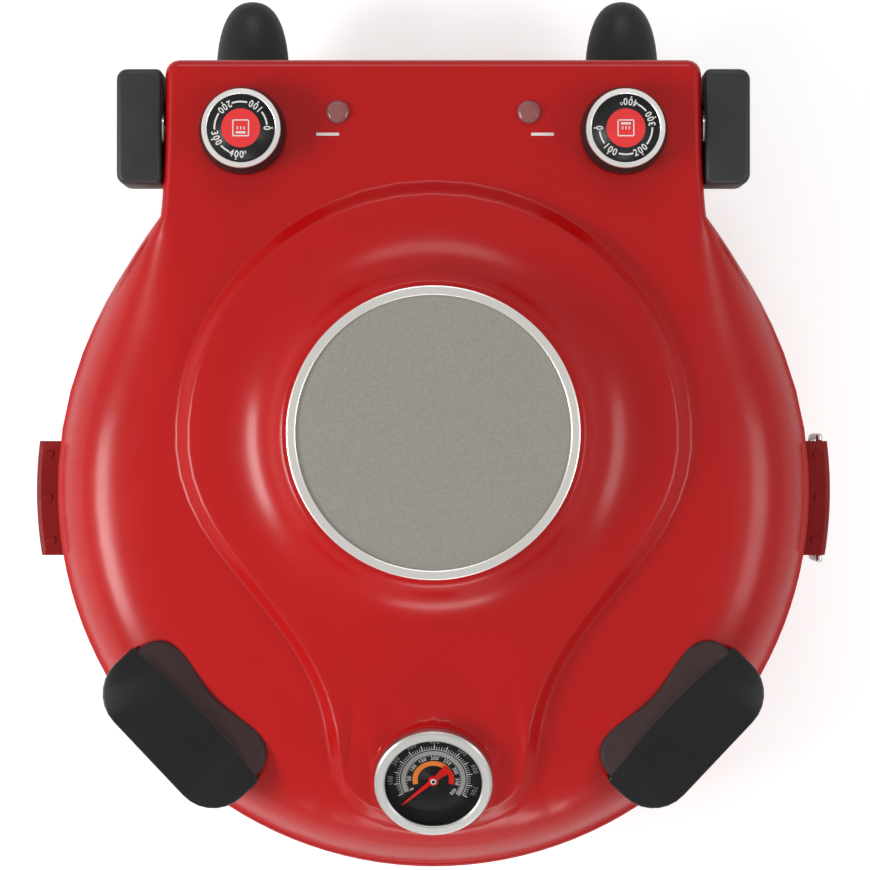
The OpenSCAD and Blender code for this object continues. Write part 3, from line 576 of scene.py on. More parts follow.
class Maker:
    """Shapes meshes with bmesh operators and sets them on the oven."""

    def __init__(self, palette: Palette, nodes: dict[str, bpy.types.Object]) -> None:
        """Keep the palette and the CAD nodes.

        Args:
            palette: Materials by finish.
            nodes: CAD node objects by name.
        """
        self.palette = palette
        self.nodes = nodes
        self.count = 0

    # shapes, in millimetres about the piece's own origin

    @staticmethod
    def spun(profile: Sequence[Pair], steps: int = 96) -> Shape:
        """Spin a profile of radius and height about Z.

        Args:
            profile: Points of the half section, in order.
            steps: Steps around.

        Returns:
            The bmesh.
        """
        bm = bmesh.new()
        ring = [bm.verts.new((r, 0, z)) for r, z in profile]
        edges = [bm.edges.new((a, b)) for a, b in zip(ring, ring[1:])]
        if profile[0] != profile[-1] and min(profile[0][0], profile[-1][0]) > WELD:
            edges.append(bm.edges.new((ring[-1], ring[0])))
        bmesh.ops.spin(bm, geom=ring + edges, cent=(0, 0, 0), axis=(0, 0, 1), dvec=(0, 0, 0),
                       angle=2 * math.pi, steps=steps, use_merge=True, use_normal_flip=False,
                       use_duplicate=False)
        bmesh.ops.remove_doubles(bm, verts=bm.verts[:], dist=WELD_SPUN)
        bmesh.ops.recalc_face_normals(bm, faces=bm.faces[:])
        return bm

    @staticmethod
    def block(size: Point, centre: Point = (0, 0, 0)) -> Shape:
        """Make a box of a size about a centre.

        Args:
            size: Length along each axis.
            centre: Middle of the box.

        Returns:
            The bmesh.
        """
        bm = bmesh.new()
        bmesh.ops.create_cube(bm, size=1)
        bmesh.ops.scale(bm, vec=size, verts=bm.verts[:])
        bmesh.ops.translate(bm, vec=centre, verts=bm.verts[:])
        return bm

    @staticmethod
    def bevel(bm: Shape, width: float, segments: int = 2, angle: float = 30) -> Shape:
        """Round the sharp edges.

        Args:
            bm: Mesh to round.
            width: Width of the bevel.
            segments: Steps across it.
            angle: Least angle between faces, in degrees.

        Returns:
            The same bmesh.
        """
        least = math.radians(angle)
        edges = [e for e in bm.edges if len(e.link_faces) == 2 and e.calc_face_angle(0) > least]
        bmesh.ops.bevel(bm, geom=edges, offset=width, offset_type="OFFSET", segments=segments,
                        profile=0.5, affect="EDGES", material=-1, clamp_overlap=True)
        return bm

    @staticmethod
    def merged(*parts: Shape) -> Shape:
        """Join several bmeshes into the first.

        Args:
            *parts: The bmeshes, of which all but the first are freed.

        Returns:
            The first.
        """
        first = parts[0]
        for other in parts[1:]:
            scratch = bpy.data.meshes.new("scratch")
            other.to_mesh(scratch)
            first.from_mesh(scratch)
            bpy.data.meshes.remove(scratch)
            other.free()
        return first

    # objects

    def settle(self, obj: bpy.types.Object, finish: Finish, body: str,
               replaces: Iterable[str] = (), smooth: float = 35) -> bpy.types.Object:
        """Give an object its finish and its place among the bodies.

        Args:
            obj: The object, with its place in its mesh.
            finish: Finish of the piece.
            body: Body that it rides on.
            replaces: CAD nodes that it stands for.
            smooth: Edges sharper than this stay sharp, in degrees.

        Returns:
            The object.
        """
        obj.data.materials.clear()
        obj.data.materials.append(self.palette.get(finish))
        obj.data.shade_smooth()
        obj.data.set_sharp_from_angle(angle=math.radians(smooth))
        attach(obj, body)
        names = list(replaces)
        if names:
            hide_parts(*names)
        self.count += 1
        LOG.info("%s rides on %s", obj.name, body)
        return obj

    def add(self, name: str, bm: Shape, finish: Finish, body: str, slot: str,
            place: Matrix | None = None) -> bpy.types.Object:
        """Turn a bmesh in millimetres into a piece on the oven.

        Args:
            name: Name of the piece.
            bm: The mesh, in millimetres.
            finish: Finish of the piece.
            body: Body that it rides on.
            slot: Not used.
            place: Move and turn in the part's axes, in millimetres.

        Returns:
            The object.
        """
        whole = Matrix.Scale(MM, 4) @ Matrix.Translation((0, SHIFT_Y, 0)) @ (place or Matrix.Identity(4))
        bmesh.ops.transform(bm, matrix=whole, verts=bm.verts[:])
        if whole.determinant() < 0:
            bmesh.ops.reverse_faces(bm, faces=bm.faces[:])
        return self.settle(meshed(name, bm), finish, body)

    @staticmethod
    def refill(bm: Shape, height: float, side: int) -> None:
        """Take out the faces of a level area and fill it again from its edges.

        Args:
            bm: Mesh in metres.
            height: Height of the level area, in metres.
            side: 1 where it faces up, -1 where it faces down.
        """
        level = {f for f in bm.faces if all(abs(v.co.z - height) < LEVEL_NEAR for v in f.verts)}
        rim = [e for e in bm.edges if sum(f in level for f in e.link_faces) == 1]
        bmesh.ops.delete(bm, geom=list(level), context="FACES_ONLY")
        made = bmesh.ops.triangle_fill(bm, use_beauty=True, use_dissolve=False, edges=rim,
                                       normal=(0, 0, side))
        for face in made["geom"]:
            if isinstance(face, bmesh.types.BMFace) and face.normal.z * side < 0:
                face.normal_flip()
        loose = [e for e in bm.edges if not e.link_faces]
        bmesh.ops.delete(bm, geom=loose, context="EDGES")
        LOG.info("level area at %.1f mm: %d edges round it", height / MM, len(rim))

    def dressed(self, node: str, finish: Finish, body: str, smooth: float = 32,
                bevel: float = 0.0, even: bool = False,
                flats: Sequence[tuple[float, int]] = ()) -> bpy.types.Object:
        """Dress a merged copy of a CAD node, with soft edges where asked.

        Args:
            node: CAD node to copy and stand for.
            finish: Finish of the copy.
            body: Body that it rides on.
            smooth: Edges sharper than this stay sharp, in degrees.
            bevel: Width of a bevel on sharp edges, in millimetres.
            even: Whether large faces pull the shading level.
            flats: Heights of level areas to fill anew, each with 1 for facing up or -1 for down.

        Returns:
            The object.
        """
        bm = bmesh.new()
        bm.from_mesh(self.nodes[node].data)
        bmesh.ops.remove_doubles(bm, verts=bm.verts[:], dist=WELD)
        for height, side in flats:
            self.refill(bm, height * MM, side)
        if not even:
            bmesh.ops.dissolve_degenerate(bm, edges=bm.edges[:], dist=1e-7)
            bmesh.ops.join_triangles(bm, faces=bm.faces[:], cmp_seam=False, cmp_sharp=False,
                                     cmp_uvs=False, cmp_vcols=False, cmp_materials=False,
                                     angle_face_threshold=JOIN_FLAT, angle_shape_threshold=JOIN_SKEW)
        obj = self.settle(meshed(node + "_dressed", bm), finish, body, (node,), smooth)
        if bevel:
            mod = obj.modifiers.new("soft edges", "BEVEL")
            mod.width = bevel * MM
            mod.segments = 2
            mod.limit_method = "ANGLE"
            mod.angle_limit = math.radians(smooth)
        if even:
            mod = obj.modifiers.new("even shading", "WEIGHTED_NORMAL")
            mod.keep_sharp = True
            mod.mode = "FACE_AREA_WITH_ANGLE"
        return obj

    def keep(self, node: str, finish: Finish) -> None:
        """Give a CAD node that stays its finish.

        Args:
            node: CAD node.
            finish: Finish of the node.
        """
        mesh = self.nodes[node].data
        mesh.materials.clear()
        mesh.materials.append(self.palette.get(finish))
        LOG.info("%s keeps its CAD shape", node)


# ------------------------------------------------------------------ studio


@dataclass(frozen=True)
class SoftBox:
    """A soft lamp that points at the oven, in metres and watts."""

    name: str
    place: Point
    size: Pair
    power: float
    aim: Point = (0, 0, 0.1)

    def hang(self) -> None:
        """Put the lamp in its place."""
        data = bpy.data.lights.new(self.name, "AREA")
        data.shape = "RECTANGLE"
        data.size, data.size_y = self.size
        data.energy = self.power
        lamp = linked(self.name, data)
        lamp.location = self.place
        way = Vector(self.aim) - Vector(self.place)
        lamp.rotation_euler = way.to_track_quat("-Z", "Y").to_euler()


@dataclass
class Studio:
    """Camera, lamps, world and floor."""

    camera_height: float = 1300
    axis_x: float = 0.8
    axis_y: float = 26.3
    focal: float = 101.1
    sensor: float = 36
    floor_half: float = 6.0
    floor_grey: float = 0.86
    floor_glow: float = 0.45
    room_level: float = 0.37
    white_level: float = 1.0
    mirror_share: float = 0.55
    boxes: tuple[SoftBox, ...] = (
        SoftBox("left box", (-1.5, -0.25, 0.95), (0.9, 0.45), 20),
        SoftBox("right box", (1.5, -0.2, 1.2), (0.9, 0.5), 8),
        SoftBox("front box", (0.1, -1.75, 0.55), (1.0, 0.35), 8),
        SoftBox("rear box", (0.0, 1.6, 1.3), (1.2, 0.5), 7))

    def camera(self) -> None:
        """Put the camera straight above, with its top edge to the rear."""
        data = bpy.data.cameras.new("camera")
        data.lens = self.focal
        data.sensor_width = self.sensor
        data.sensor_fit = "HORIZONTAL"
        data.clip_end = 50
        cam = linked("camera", data)
        cam.location = row(self.axis_x, self.axis_y, self.camera_height)
        bpy.context.scene.camera = cam

    @staticmethod
    def math_node(tree: bpy.types.NodeTree, operation: str, first: Socket,
                  second: Socket | float) -> Socket:
        """Add a math node to a tree.

        Args:
            tree: Node tree of the world or of a material.
            operation: What the node does.
            first: Socket for its first input.
            second: Socket or number for its second input.

        Returns:
            The result's socket.
        """
        made = tree.nodes.new("ShaderNodeMath")
        made.operation = operation
        tree.links.new(first, made.inputs[0])
        if isinstance(second, float):
            made.inputs[1].default_value = second
        else:
            tree.links.new(second, made.inputs[1])
        return made.outputs[0]

    def world(self) -> None:
        """Light the room evenly, and show white where the camera or a clear piece looks past the oven."""
        world = bpy.data.worlds.new("room")
        bpy.context.scene.world = world
        world.use_nodes = True
        tree = world.node_tree
        tree.nodes.clear()
        path = tree.nodes.new("ShaderNodeLightPath").outputs
        seen = self.math_node(tree, "MAXIMUM", path["Is Camera Ray"], path["Is Transmission Ray"])
        mirrored = self.math_node(tree, "MULTIPLY", path["Is Glossy Ray"], self.mirror_share)
        mix = tree.nodes.new("ShaderNodeMixShader")
        tree.links.new(self.math_node(tree, "MAXIMUM", seen, mirrored), mix.inputs[0])
        for index, strength in enumerate((self.room_level, self.white_level), start=1):
            sky = tree.nodes.new("ShaderNodeBackground")
            sky.inputs["Color"].default_value = (1, 1, 1, 1)
            sky.inputs["Strength"].default_value = strength
            tree.links.new(sky.outputs[0], mix.inputs[index])
        out = tree.nodes.new("ShaderNodeOutputWorld")
        tree.links.new(mix.outputs[0], out.inputs["Surface"])

    def floor(self) -> None:
        """Lay a pale floor that shows white to the camera and keeps a soft shadow."""
        bm = bmesh.new()
        bmesh.ops.create_grid(bm, x_segments=1, y_segments=1, size=self.floor_half)
        obj = meshed("floor", bm)
        material = bpy.data.materials.new("pale floor")
        material.use_nodes = True
        tree = material.node_tree
        tree.nodes.clear()
        matt = tree.nodes.new("ShaderNodeBsdfDiffuse")
        matt.inputs["Color"].default_value = (self.floor_grey, self.floor_grey, self.floor_grey, 1)
        glow = tree.nodes.new("ShaderNodeEmission")
        path = tree.nodes.new("ShaderNodeLightPath").outputs
        seen = self.math_node(tree, "MAXIMUM", path["Is Camera Ray"], path["Is Transmission Ray"])
        tree.links.new(self.math_node(tree, "MULTIPLY", seen, self.floor_glow), glow.inputs["Strength"])
        total = tree.nodes.new("ShaderNodeAddShader")
        tree.links.new(matt.outputs[0], total.inputs[0])
        tree.links.new(glow.outputs[0], total.inputs[1])
        out = tree.nodes.new("ShaderNodeOutputMaterial")
        tree.links.new(total.outputs[0], out.inputs["Surface"])
        obj.data.materials.append(material)

    def build(self) -> None:
        """Set up the whole studio."""
        bpy.context.scene.view_settings.view_transform = "Standard"
        self.camera()
        for box in self.boxes:
            box.hang()
        self.world()
        self.floor()


# ------------------------------------------------------------------ lettering


class Print:
    """Prints generic marks and numbers as thin raised shapes."""

    @staticmethod
    def text(words: str, height: float, bold: float = 0.0) -> Shape:
        """Make figures centred on the origin, lying flat, in millimetres.

        Args:
            words: Figures to set.
            height: Height of the figures.
            bold: Extra weight of their strokes.

        Returns:
            The bmesh.
        """
        curve = bpy.data.curves.new("figures", "FONT")
        curve.body = words
        curve.size = height * 1.38
        curve.align_x = "CENTER"
        curve.align_y = "CENTER"
        curve.offset = bold
        curve.extrude = PRINT_THICK / 2
        curve.resolution_u = 4
        obj = linked("figures", curve)
        bpy.context.view_layer.update()
        mesh = bpy.data.meshes.new_from_object(obj.evaluated_get(bpy.context.evaluated_depsgraph_get()))
        bm = bmesh.new()
        bm.from_mesh(mesh)
        bpy.data.objects.remove(obj)
        bpy.data.curves.remove(curve)
        bpy.data.meshes.remove(mesh)
        low = Vector((min(v.co.x for v in bm.verts), min(v.co.y for v in bm.verts), 0))
        high = Vector((max(v.co.x for v in bm.verts), max(v.co.y for v in bm.verts), 0))
        bmesh.ops.translate(bm, vec=-(low + high) / 2, verts=bm.verts[:])
        bmesh.ops.remove_doubles(bm, verts=bm.verts[:], dist=WELD_TEXT)
        return bm

    @staticmethod
    def bar(length: float, width: float, centre: Point = (0, 0, 0)) -> Shape:
        """Make a thin bar along X, about a centre."""
        return Maker.block((length, width, PRINT_THICK), centre)

    @staticmethod
    def turn(bm: Shape, angle: float) -> Shape:
        """Turn a shape about Z.

        Args:
            bm: The shape.
            angle: Angle in degrees.

        Returns:
            The same bmesh.
        """
        about_z = Matrix.Rotation(math.radians(angle), 3, "Z")
        bmesh.ops.rotate(bm, verts=bm.verts[:], cent=(0, 0, 0), matrix=about_z)
        return bm

    @staticmethod
    def put(bm: Shape, radius: float, angle: float) -> Shape:
        """Move a shape out from the centre without turning it.

        Args:
            bm: The shape.
            radius: Distance from the centre.
            angle: Place around the centre, anticlockwise from the right, in degrees.

        Returns:
            The same bmesh.
        """
        a = math.radians(angle)
        bmesh.ops.translate(bm, vec=(radius * math.cos(a), radius * math.sin(a), 0), verts=bm.verts[:])
        return bm

    @staticmethod
    def arc(radius: float, width: float, start: float, end: float) -> Shape:
        """Make a thin arc strip about Z, from one angle to another in degrees.

        Args:
            radius: Middle radius.
            width: Width of the strip.
            start: First angle.
            end: Last angle.

        Returns:
            The bmesh.
        """
        bm = bmesh.new()
        near, far, half = radius - width / 2, radius + width / 2, PRINT_THICK / 2
        corners = [(near, -half), (far, -half), (far, half), (near, half)]
        first = [bm.verts.new((r, 0, z)) for r, z in corners]
        Print.turn(bm, start)
        face = bm.faces.new(first)
        steps = max(2, int(abs(end - start) / ARC_STEP))
        bmesh.ops.spin(bm, geom=[face], cent=(0, 0, 0), axis=(0, 0, 1), dvec=(0, 0, 0),
                       angle=math.radians(end - start), steps=steps, use_merge=False,
                       use_normal_flip=False, use_duplicate=False)
        bmesh.ops.remove_doubles(bm, verts=bm.verts[:], dist=WELD_SPUN)
        bmesh.ops.recalc_face_normals(bm, faces=bm.faces[:])
        return bm

    @staticmethod
    def around(words: str, height: float, radius: float, angle: float, tops_in: bool = True,
               bold: float = 0.0, narrow: float = 0.86) -> list[Shape]:
        """Set figures one by one along a circle.

        Args:
            words: Figures to set.
            height: Height of the figures.
            radius: Radius of the circle through their middles.
            angle: Place of the word's middle, in degrees.
            tops_in: Whether the figures' tops point to the centre.
            bold: Extra weight of their strokes.
            narrow: Width share that is kept.

        Returns:
            One shape for each figure.
        """
        pitch = math.degrees(height * 0.72 / radius) * (1 if tops_in else -1)
        middle = (len(words) - 1) / 2
        shapes = []
        for index, figure in enumerate(words):
            shape = Print.text(figure, height, bold)
            bmesh.ops.scale(shape, vec=(narrow, 1, 1), verts=shape.verts[:])
            at = angle + (index - middle) * pitch
            shapes.append(Print.put(Print.turn(shape, at + (90 if tops_in else -90)), radius, at))
        return shapes


# ------------------------------------------------------------------ sub-assemblies


class SubAssembly(Protocol):
    """A part of the oven that dresses its own pieces."""

    def build(self, maker: Maker) -> None:
        """Dress the pieces."""


@dataclass
class Base:
    """The lower shell with its tabs, pegs, feet and plates."""

    tab_edge: float = 0.6
    gland_edge: float = 0.8
    peg_smooth: float = 50
    wire_smooth: float = 60

    def build(self, maker: Maker) -> None:
        """Dress the base's pieces.

        Args:
            maker: Mesh maker.
        """
        maker.dressed("base_shell", BASE_LACQUER, "base")
        # The tabs' colour holds painted shade for the shade under the lid's rim.
        for node in ("left_grip", "right_grip"):
            maker.dressed(node, TAB_RED_WITH_SHADE, "base", bevel=self.tab_edge)
        maker.dressed("grip_rivets", TAB_RED_WITH_SHADE, "base")
        for node in ("left_rear_peg", "right_rear_peg"):
            maker.dressed(node, PEG_BLACK, "base", smooth=self.peg_smooth)
        maker.dressed("feet", RUBBER, "base")
        maker.dressed("bottom_cover", PLAIN_STEEL, "base")
        maker.dressed("cover_screws", BRIGHT_STEEL, "base")
        maker.dressed("rear_plate", BLACK_MOULDING, "base")
        maker.dressed("cord_gland", BLACK_MOULDING, "base", bevel=self.gland_edge)
        maker.dressed("latch_bail", BRIGHT_STEEL, "bail", smooth=self.wire_smooth)


@dataclass
class Chamber:
    """Liners, stone and heating tubes, seen with the lid open."""

    liner_smooth: float = 40
    tube_smooth: float = 60

    def build(self, maker: Maker) -> None:
        """Dress the baking chamber.

        Args:
            maker: Mesh maker.
        """
        maker.dressed("base_liner", LINER_METAL, "base", smooth=self.liner_smooth)
        maker.dressed("baking_stone", STONE, "base")
        maker.keep("stone_supports", BRIGHT_STEEL)
        maker.dressed("lower_element", TUBE_METAL, "base", smooth=self.tube_smooth)
        maker.keep("lower_clips", PLAIN_STEEL)
        maker.keep("terminal_block", PORCELAIN)
        maker.dressed("lid_liner", LINER_METAL, "lid", smooth=self.liner_smooth)
        maker.dressed("upper_element", TUBE_METAL, "lid", smooth=self.tube_smooth)
        maker.keep("upper_clips", PLAIN_STEEL)


@dataclass
class Towers:
    """Hinge towers beside the deck, with their pins."""

    smooth: float = 30

    def build(self, maker: Maker) -> None:
        """Dress the hinge.

        Args:
            maker: Mesh maker.
        """
        for node in ("left_hinge_tower", "right_hinge_tower"):
            maker.dressed(node, BLACK_MOULDING, "base", smooth=self.smooth)
        maker.dressed("hinge_pins", BRIGHT_STEEL, "base")
        maker.keep("hinge_brackets", PLAIN_STEEL)


@dataclass
class Lid:
    """The pressed lid with its deck marks and lamps."""

    smooth: float = 24
    lamp_smooth: float = 50
    deck_z: float = 119
    sheet: float = 2.2
    marks_x: Pair = (-51.1, 52.8)
    mark_y: float = 171.7
    mark_size: Point = (11, 1.45, 0.1)
    mark_edge: float = 0.03

    def marks(self) -> Shape:
        """Make the index marks in front of the lamps.

        Returns:
            The shape, in the part's axes.
        """
        height = self.deck_z + self.mark_size[2] / 2
        blocks = [Maker.block(self.mark_size, (x, self.mark_y, height)) for x in self.marks_x]
        return Maker.merged(*[Maker.bevel(block, self.mark_edge) for block in blocks])

    def build(self, maker: Maker) -> None:
        """Dress the lid.

        Args:
            maker: Mesh maker.
        """
        flats = ((self.deck_z, 1), (self.deck_z - self.sheet, -1))
        maker.dressed("lid_shell", RED_LACQUER, "lid", smooth=self.smooth, even=True,
                      flats=flats)
        maker.add("index_marks", self.marks(), WHITE_PRINT, "lid", "dial_print")
        maker.keep("control_cover", PLAIN_STEEL)
        maker.keep("handle_screws", BRIGHT_STEEL)
        for side in ("left", "right"):
            maker.keep(side + "_thermostat", PORCELAIN)
            maker.dressed(side + "_lamp", LAMP_LENS, "lid", smooth=self.lamp_smooth)


@dataclass
class Window:
    """The round window in its metal ring."""

    y: float = 27.4
    ring_colour: Colour = (236, 233, 228)
    ring_edge: float = 0.35

    def build(self, maker: Maker) -> None:
        """Dress the window.

        Args:
            maker: Mesh maker.
        """
        ring = BareMetal("satin window ring", self.ring_colour, brush=Brush.ROUND, centre=(0, self.y, 0))
        maker.dressed("window_glass", WINDOW_PANE, "lid")
        maker.dressed("window_bezel", ring, "lid", bevel=self.ring_edge)
        maker.keep("window_seal", SEAL_BLACK)
        maker.keep("window_retainer", PLAIN_STEEL)


@dataclass
class Handles:
    """The two grips at the front, smooth above and stippled at the foot."""

    turn: float = -43.4
    grip_inner: float = 156.9
    smooth: float = 30

    def is_foot(self, centre: Vector, side: int) -> bool:
        """Tell whether a face belongs to a grip's foot.

        Args:
            centre: Centre of the face in the row frame.
            side: -1 for the left grip, 1 for the right.

        Returns:
            True where the face lies inside the grip's inner edge.
        """
        angle = math.radians(self.turn)
        out = side * centre.x / MM * math.cos(angle) + (centre.y / MM - SHIFT_Y) * math.sin(angle)
        return out < self.grip_inner

    def build(self, maker: Maker) -> None:
        """Dress the grips.

        Args:
            maker: Mesh maker.
        """
        for side, node in ((-1, "left_handle"), (1, "right_handle")):
            grip = maker.dressed(node, GRIP_BLACK, "lid", smooth=self.smooth)
            grip.data.materials.append(maker.palette.get(RAMP_BLACK))
            for face in grip.data.polygons:
                face.material_index = int(self.is_foot(face.center, side))


@dataclass(frozen=True)
class Dial:
    """Where one knob's figures, dots and arcs stand, in degrees anticlockwise from the right."""

    figures: tuple[tuple[float, str], ...]
    arcs: tuple[Span, ...]
    degree: float
    bar_side: int


@dataclass
class Knobs:
    """Two heat knobs with numbered dials."""

    x: float = 92
    y: float = 173
    top: float = 132.8
    dial_lift: float = 0.04
    symbol_lift: float = 0.03
    ring_colour: Colour = (246, 243, 239)
    body_smooth: float = 40
    figure: float = 3.4
    figure_r: float = 12.6
    bold: float = 0.09
    dot: float = 0.4
    dot_r: float = 14.95
    arc_width: float = 0.8
    degree_r: float = 11.8
    degree_size: float = 0.55
    degree_line: float = 0.3
    symbol: float = 7.5
    line: float = 0.55
    heat_bar: Pair = (4.65, 1.0)
    heat_bar_in: float = 1.6
    ray: float = 1.5
    ray_in: float = 3.7
    rays_x: tuple[float, ...] = (-1.6, 0, 1.6)
    left: Dial = Dial(((0, "0"), (55.6, "100"), (127, "200"), (202, "300"), (260.6, "400")),
                      ((7.3, 37.4), (75.8, 110.2), (146.2, 183.5), (221.5, 243.9)), 279.6, -1)
    right: Dial = Dial(((180, "0"), (234, "100"), (303, "200"), (20, "300"), (79.7, "400")),
                       ((186.8, 215.6), (254.3, 286.8), (322.2, 361.3), (40, 63.1)), 100, 1)

    def marks(self, dial: Dial) -> Shape:
        """Make the figures, dots and arcs of one dial.

        Args:
            dial: Where they stand.

        Returns:
            The shape, about the knob's axis.
        """
        half = PRINT_THICK / 2
        disc = [(0, half), (self.dot, half), (self.dot, -half), (0, -half)]
        shapes = []
        for angle, words in dial.figures:
            shapes += Print.around(words, self.figure, self.figure_r, angle, bold=self.bold)
            shapes.append(Print.put(Maker.spun(disc, 16), self.dot_r, angle))
        degree = Print.arc(self.degree_size, self.degree_line, 0, 356)
        shapes.append(Print.put(degree, self.degree_r, dial.degree))
        for start, end in dial.arcs:
            shapes.append(Print.arc(self.figure_r, self.arc_width, start, end))
        return Maker.merged(*shapes)

    def heat_symbol(self, dial: Dial) -> Shape:
        """Make a plain oven symbol: an open frame with a heat bar at its top or bottom.

        Args:
            dial: Dial whose bar_side is 1 for the top or -1 for the bottom.

        Returns:
            The shape, about the knob's axis.
        """
        half = self.symbol / 2
        bars = [Print.bar(self.symbol, self.line, (0, s * half, 0)) for s in (-1, 1)]
        bars += [Print.bar(self.line, self.symbol, (s * half, 0, 0)) for s in (-1, 1)]
        bars.append(Print.bar(*self.heat_bar, (0, dial.bar_side * (half - self.heat_bar_in), 0)))
        ray_y = dial.bar_side * (half - self.ray_in)
        bars += [Print.bar(self.line, self.ray, (x, ray_y, 0)) for x in self.rays_x]
        return Maker.merged(*bars)

    def build(self, maker: Maker) -> None:
        """Dress both knobs.

        Args:
            maker: Mesh maker.
        """
        for side, name, dial in ((-1, "left", self.left), (1, "right", self.right)):
            body = name + "_knob"
            x = side * self.x
            ring = BareMetal(name + " knob ring", self.ring_colour, brush=Brush.ROUND,
                             centre=(x, self.y, 0))
            maker.dressed(name + "_knob_body", KNOB_BLACK, body, smooth=self.body_smooth)
            maker.dressed(name + "_knob_ring", ring, body)
            maker.dressed(name + "_knob_disc", KNOB_RED, body)
            maker.keep(name + "_shaft", PLAIN_STEEL)
            disc_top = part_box(name + "_knob_disc")[1][2] / MM
            on_dial = Matrix.Translation((x, self.y, self.top + self.dial_lift))
            on_disc = Matrix.Translation((x, self.y, disc_top + self.symbol_lift))
            figures, symbol = self.marks(dial), self.heat_symbol(dial)
            maker.add(name + "_dial_figures", figures, WHITE_PRINT, body, "dial_print", on_dial)
            maker.add(name + "_heat_symbol", symbol, WHITE_PRINT, body, "dial_print", on_disc)


@dataclass(frozen=True)
class Ticks:
    """A row of ticks on a scale, in which every so many are long."""

    count: int
    inner: float
    outer: float
    width: float = 0.2
    every: int = 0
    long_outer: float = 0.0
    long_width: float = 0.4

    def shapes(self, first: float, last: float) -> list[Shape]:
        """Make the ticks between two angles.

        Args:
            first: Angle of the first tick, in degrees.
            last: Angle of the last tick, in degrees.

        Returns:
            One shape for each tick.
        """
        made = []
        for index in range(self.count + 1):
            is_long = self.every > 0 and index % self.every == 0
            outer = self.long_outer if is_long else self.outer
            width = self.long_width if is_long else self.width
            bar = Print.bar(outer - self.inner, width)
            bmesh.ops.translate(bar, vec=((outer + self.inner) / 2, 0, 0), verts=bar.verts[:])
            made.append(Print.turn(bar, first + (last - first) * index / self.count))
        return made


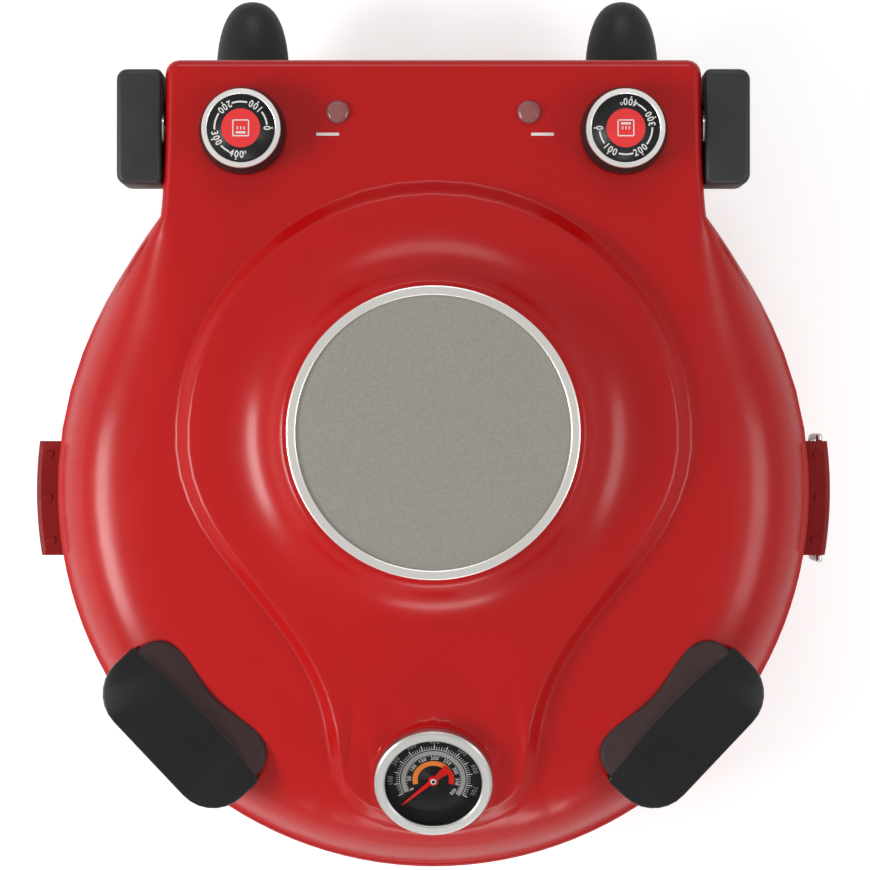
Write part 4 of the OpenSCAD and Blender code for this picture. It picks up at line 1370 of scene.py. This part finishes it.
@dataclass
class Gauge:
    """The thermometer in the nose of the lid."""

    y: float = -141.6
    z: float = 127.5
    tilt: float = 22
    print_lift: float = -5.17
    hub_lift: float = -3.2
    bezel_edge: float = 0.25
    scale: Span = (208, -31)
    outer_ticks: Ticks = Ticks(60, 16.6, 18.0, every=5, long_outer=19.0)
    inner_ticks: Ticks = Ticks(40, 12.7, 13.3)
    rule: Pair = (16.3, 0.22)
    band: Pair = (14.45, 2.2)
    band_past: float = 5
    zone: Pair = (8.8, 2.5)
    hot_from: float = -16.5
    warm_from: float = 32
    warm_to: float = 196.6
    outer_figure: Pair = (2.5, 20.8)
    outer_step: int = 100
    outer_angles: tuple[float, ...] = (182, 151, 121, 89, 47, 16, -18)
    inner_figure: Pair = (1.9, 11.7)
    inner_step: int = 50
    inner_angles: tuple[float, ...] = (207, 178, 147, 117, 87, 55, 24, -6, -35)
    hub: tuple[Pair, ...] = ((0, 0), (1.4, 0), (1.4, 0.35), (1.1, 0.5), (0, 0.5))
    hub_pin: tuple[Pair, ...] = ((0, 0), (0.85, 0), (0.85, 0.62), (0.6, 0.7), (0, 0.7))

    def place(self, lift: float) -> Matrix:
        """Give the place of something at a height above the gauge's face centre."""
        centre = Matrix.Translation((0, self.y, self.z))
        return centre @ Matrix.Rotation(math.radians(self.tilt), 4, "X") @ Matrix.Translation((0, 0, lift))

    def white_print(self) -> Shape:
        """Make the ticks, the rule and the inner figures.

        Returns:
            The shape, about the face's centre.
        """
        first, last = self.scale
        shapes = self.outer_ticks.shapes(first, last)
        shapes.append(Print.arc(*self.rule, last, first))
        shapes += self.inner_ticks.shapes(first, last)
        for index, angle in enumerate(self.inner_angles):
            shapes += Print.around(str(self.inner_step * index), *self.inner_figure, angle, tops_in=False)
        return Maker.merged(*shapes)

    def grey_print(self) -> Shape:
        """Make the grey band and the outer figures.

        Returns:
            The shape, about the face's centre.
        """
        first, last = self.scale
        shapes = [Print.arc(*self.band, last - self.band_past, first)]
        for index, angle in enumerate(self.outer_angles, start=1):
            shapes += Print.around(str(self.outer_step * index), *self.outer_figure, angle, tops_in=False)
        return Maker.merged(*shapes)

    def build(self, maker: Maker) -> None:
        """Dress the thermometer.

        Args:
            maker: Mesh maker.
        """
        maker.dressed("gauge_bezel", BEZEL_STEEL, "lid", bevel=self.bezel_edge)
        maker.keep("gauge_case", PLAIN_STEEL)
        maker.dressed("gauge_dial", DIAL_BLACK, "lid")
        maker.dressed("gauge_glass", CLEAR_PANE, "lid")
        maker.dressed("gauge_needle", SCARLET, "needle")
        face = self.place(self.print_lift)
        under = self.place(self.print_lift - 0.01)
        warm = Print.arc(*self.zone, self.warm_from, self.warm_to)
        hot = Print.arc(*self.zone, self.hot_from, self.warm_from)
        maker.add("gauge_scale", self.white_print(), WHITE_PRINT, "lid", "dial_print", face)
        maker.add("gauge_outer_scale", self.grey_print(), GREY_PRINT, "lid", "dial_print", under)
        maker.add("gauge_warm_band", warm, ORANGE_PRINT, "lid", "dial_print", face)
        maker.add("gauge_hot_band", hot, SCARLET, "lid", "dial_print", face)
        hub, pin = Maker.spun(self.hub, 32), Maker.spun(self.hub_pin, 24)
        on_needle = self.place(self.hub_lift)
        maker.add("gauge_hub", hub, WHITE_PRINT, "needle", "red_plastic", on_needle)
        maker.add("gauge_hub_pin", pin, DIAL_BLACK, "needle", "red_plastic", on_needle)


@dataclass
class PizzaOven:
    """The whole oven."""

    parts: list[SubAssembly] = field(default_factory=lambda: [
        Base(), Chamber(), Towers(), Lid(), Window(), Handles(), Knobs(), Gauge()])

    def build(self, maker: Maker) -> None:
        """Build each sub-assembly in order.

        Args:
            maker: Mesh maker.
        """
        for part in self.parts:
            part.build(maker)
            LOG.info("%s done", type(part).__name__)


def main() -> None:
    """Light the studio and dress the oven."""
    logging.basicConfig(level=logging.INFO, format="%(name)s: %(message)s")
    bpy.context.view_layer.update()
    maker = Maker(Palette(), frame["nodes"])
    Studio().build()
    PizzaOven().build(maker)
    LOG.info("%d pieces dressed", maker.count)


if __name__ == "__main__":
    main()
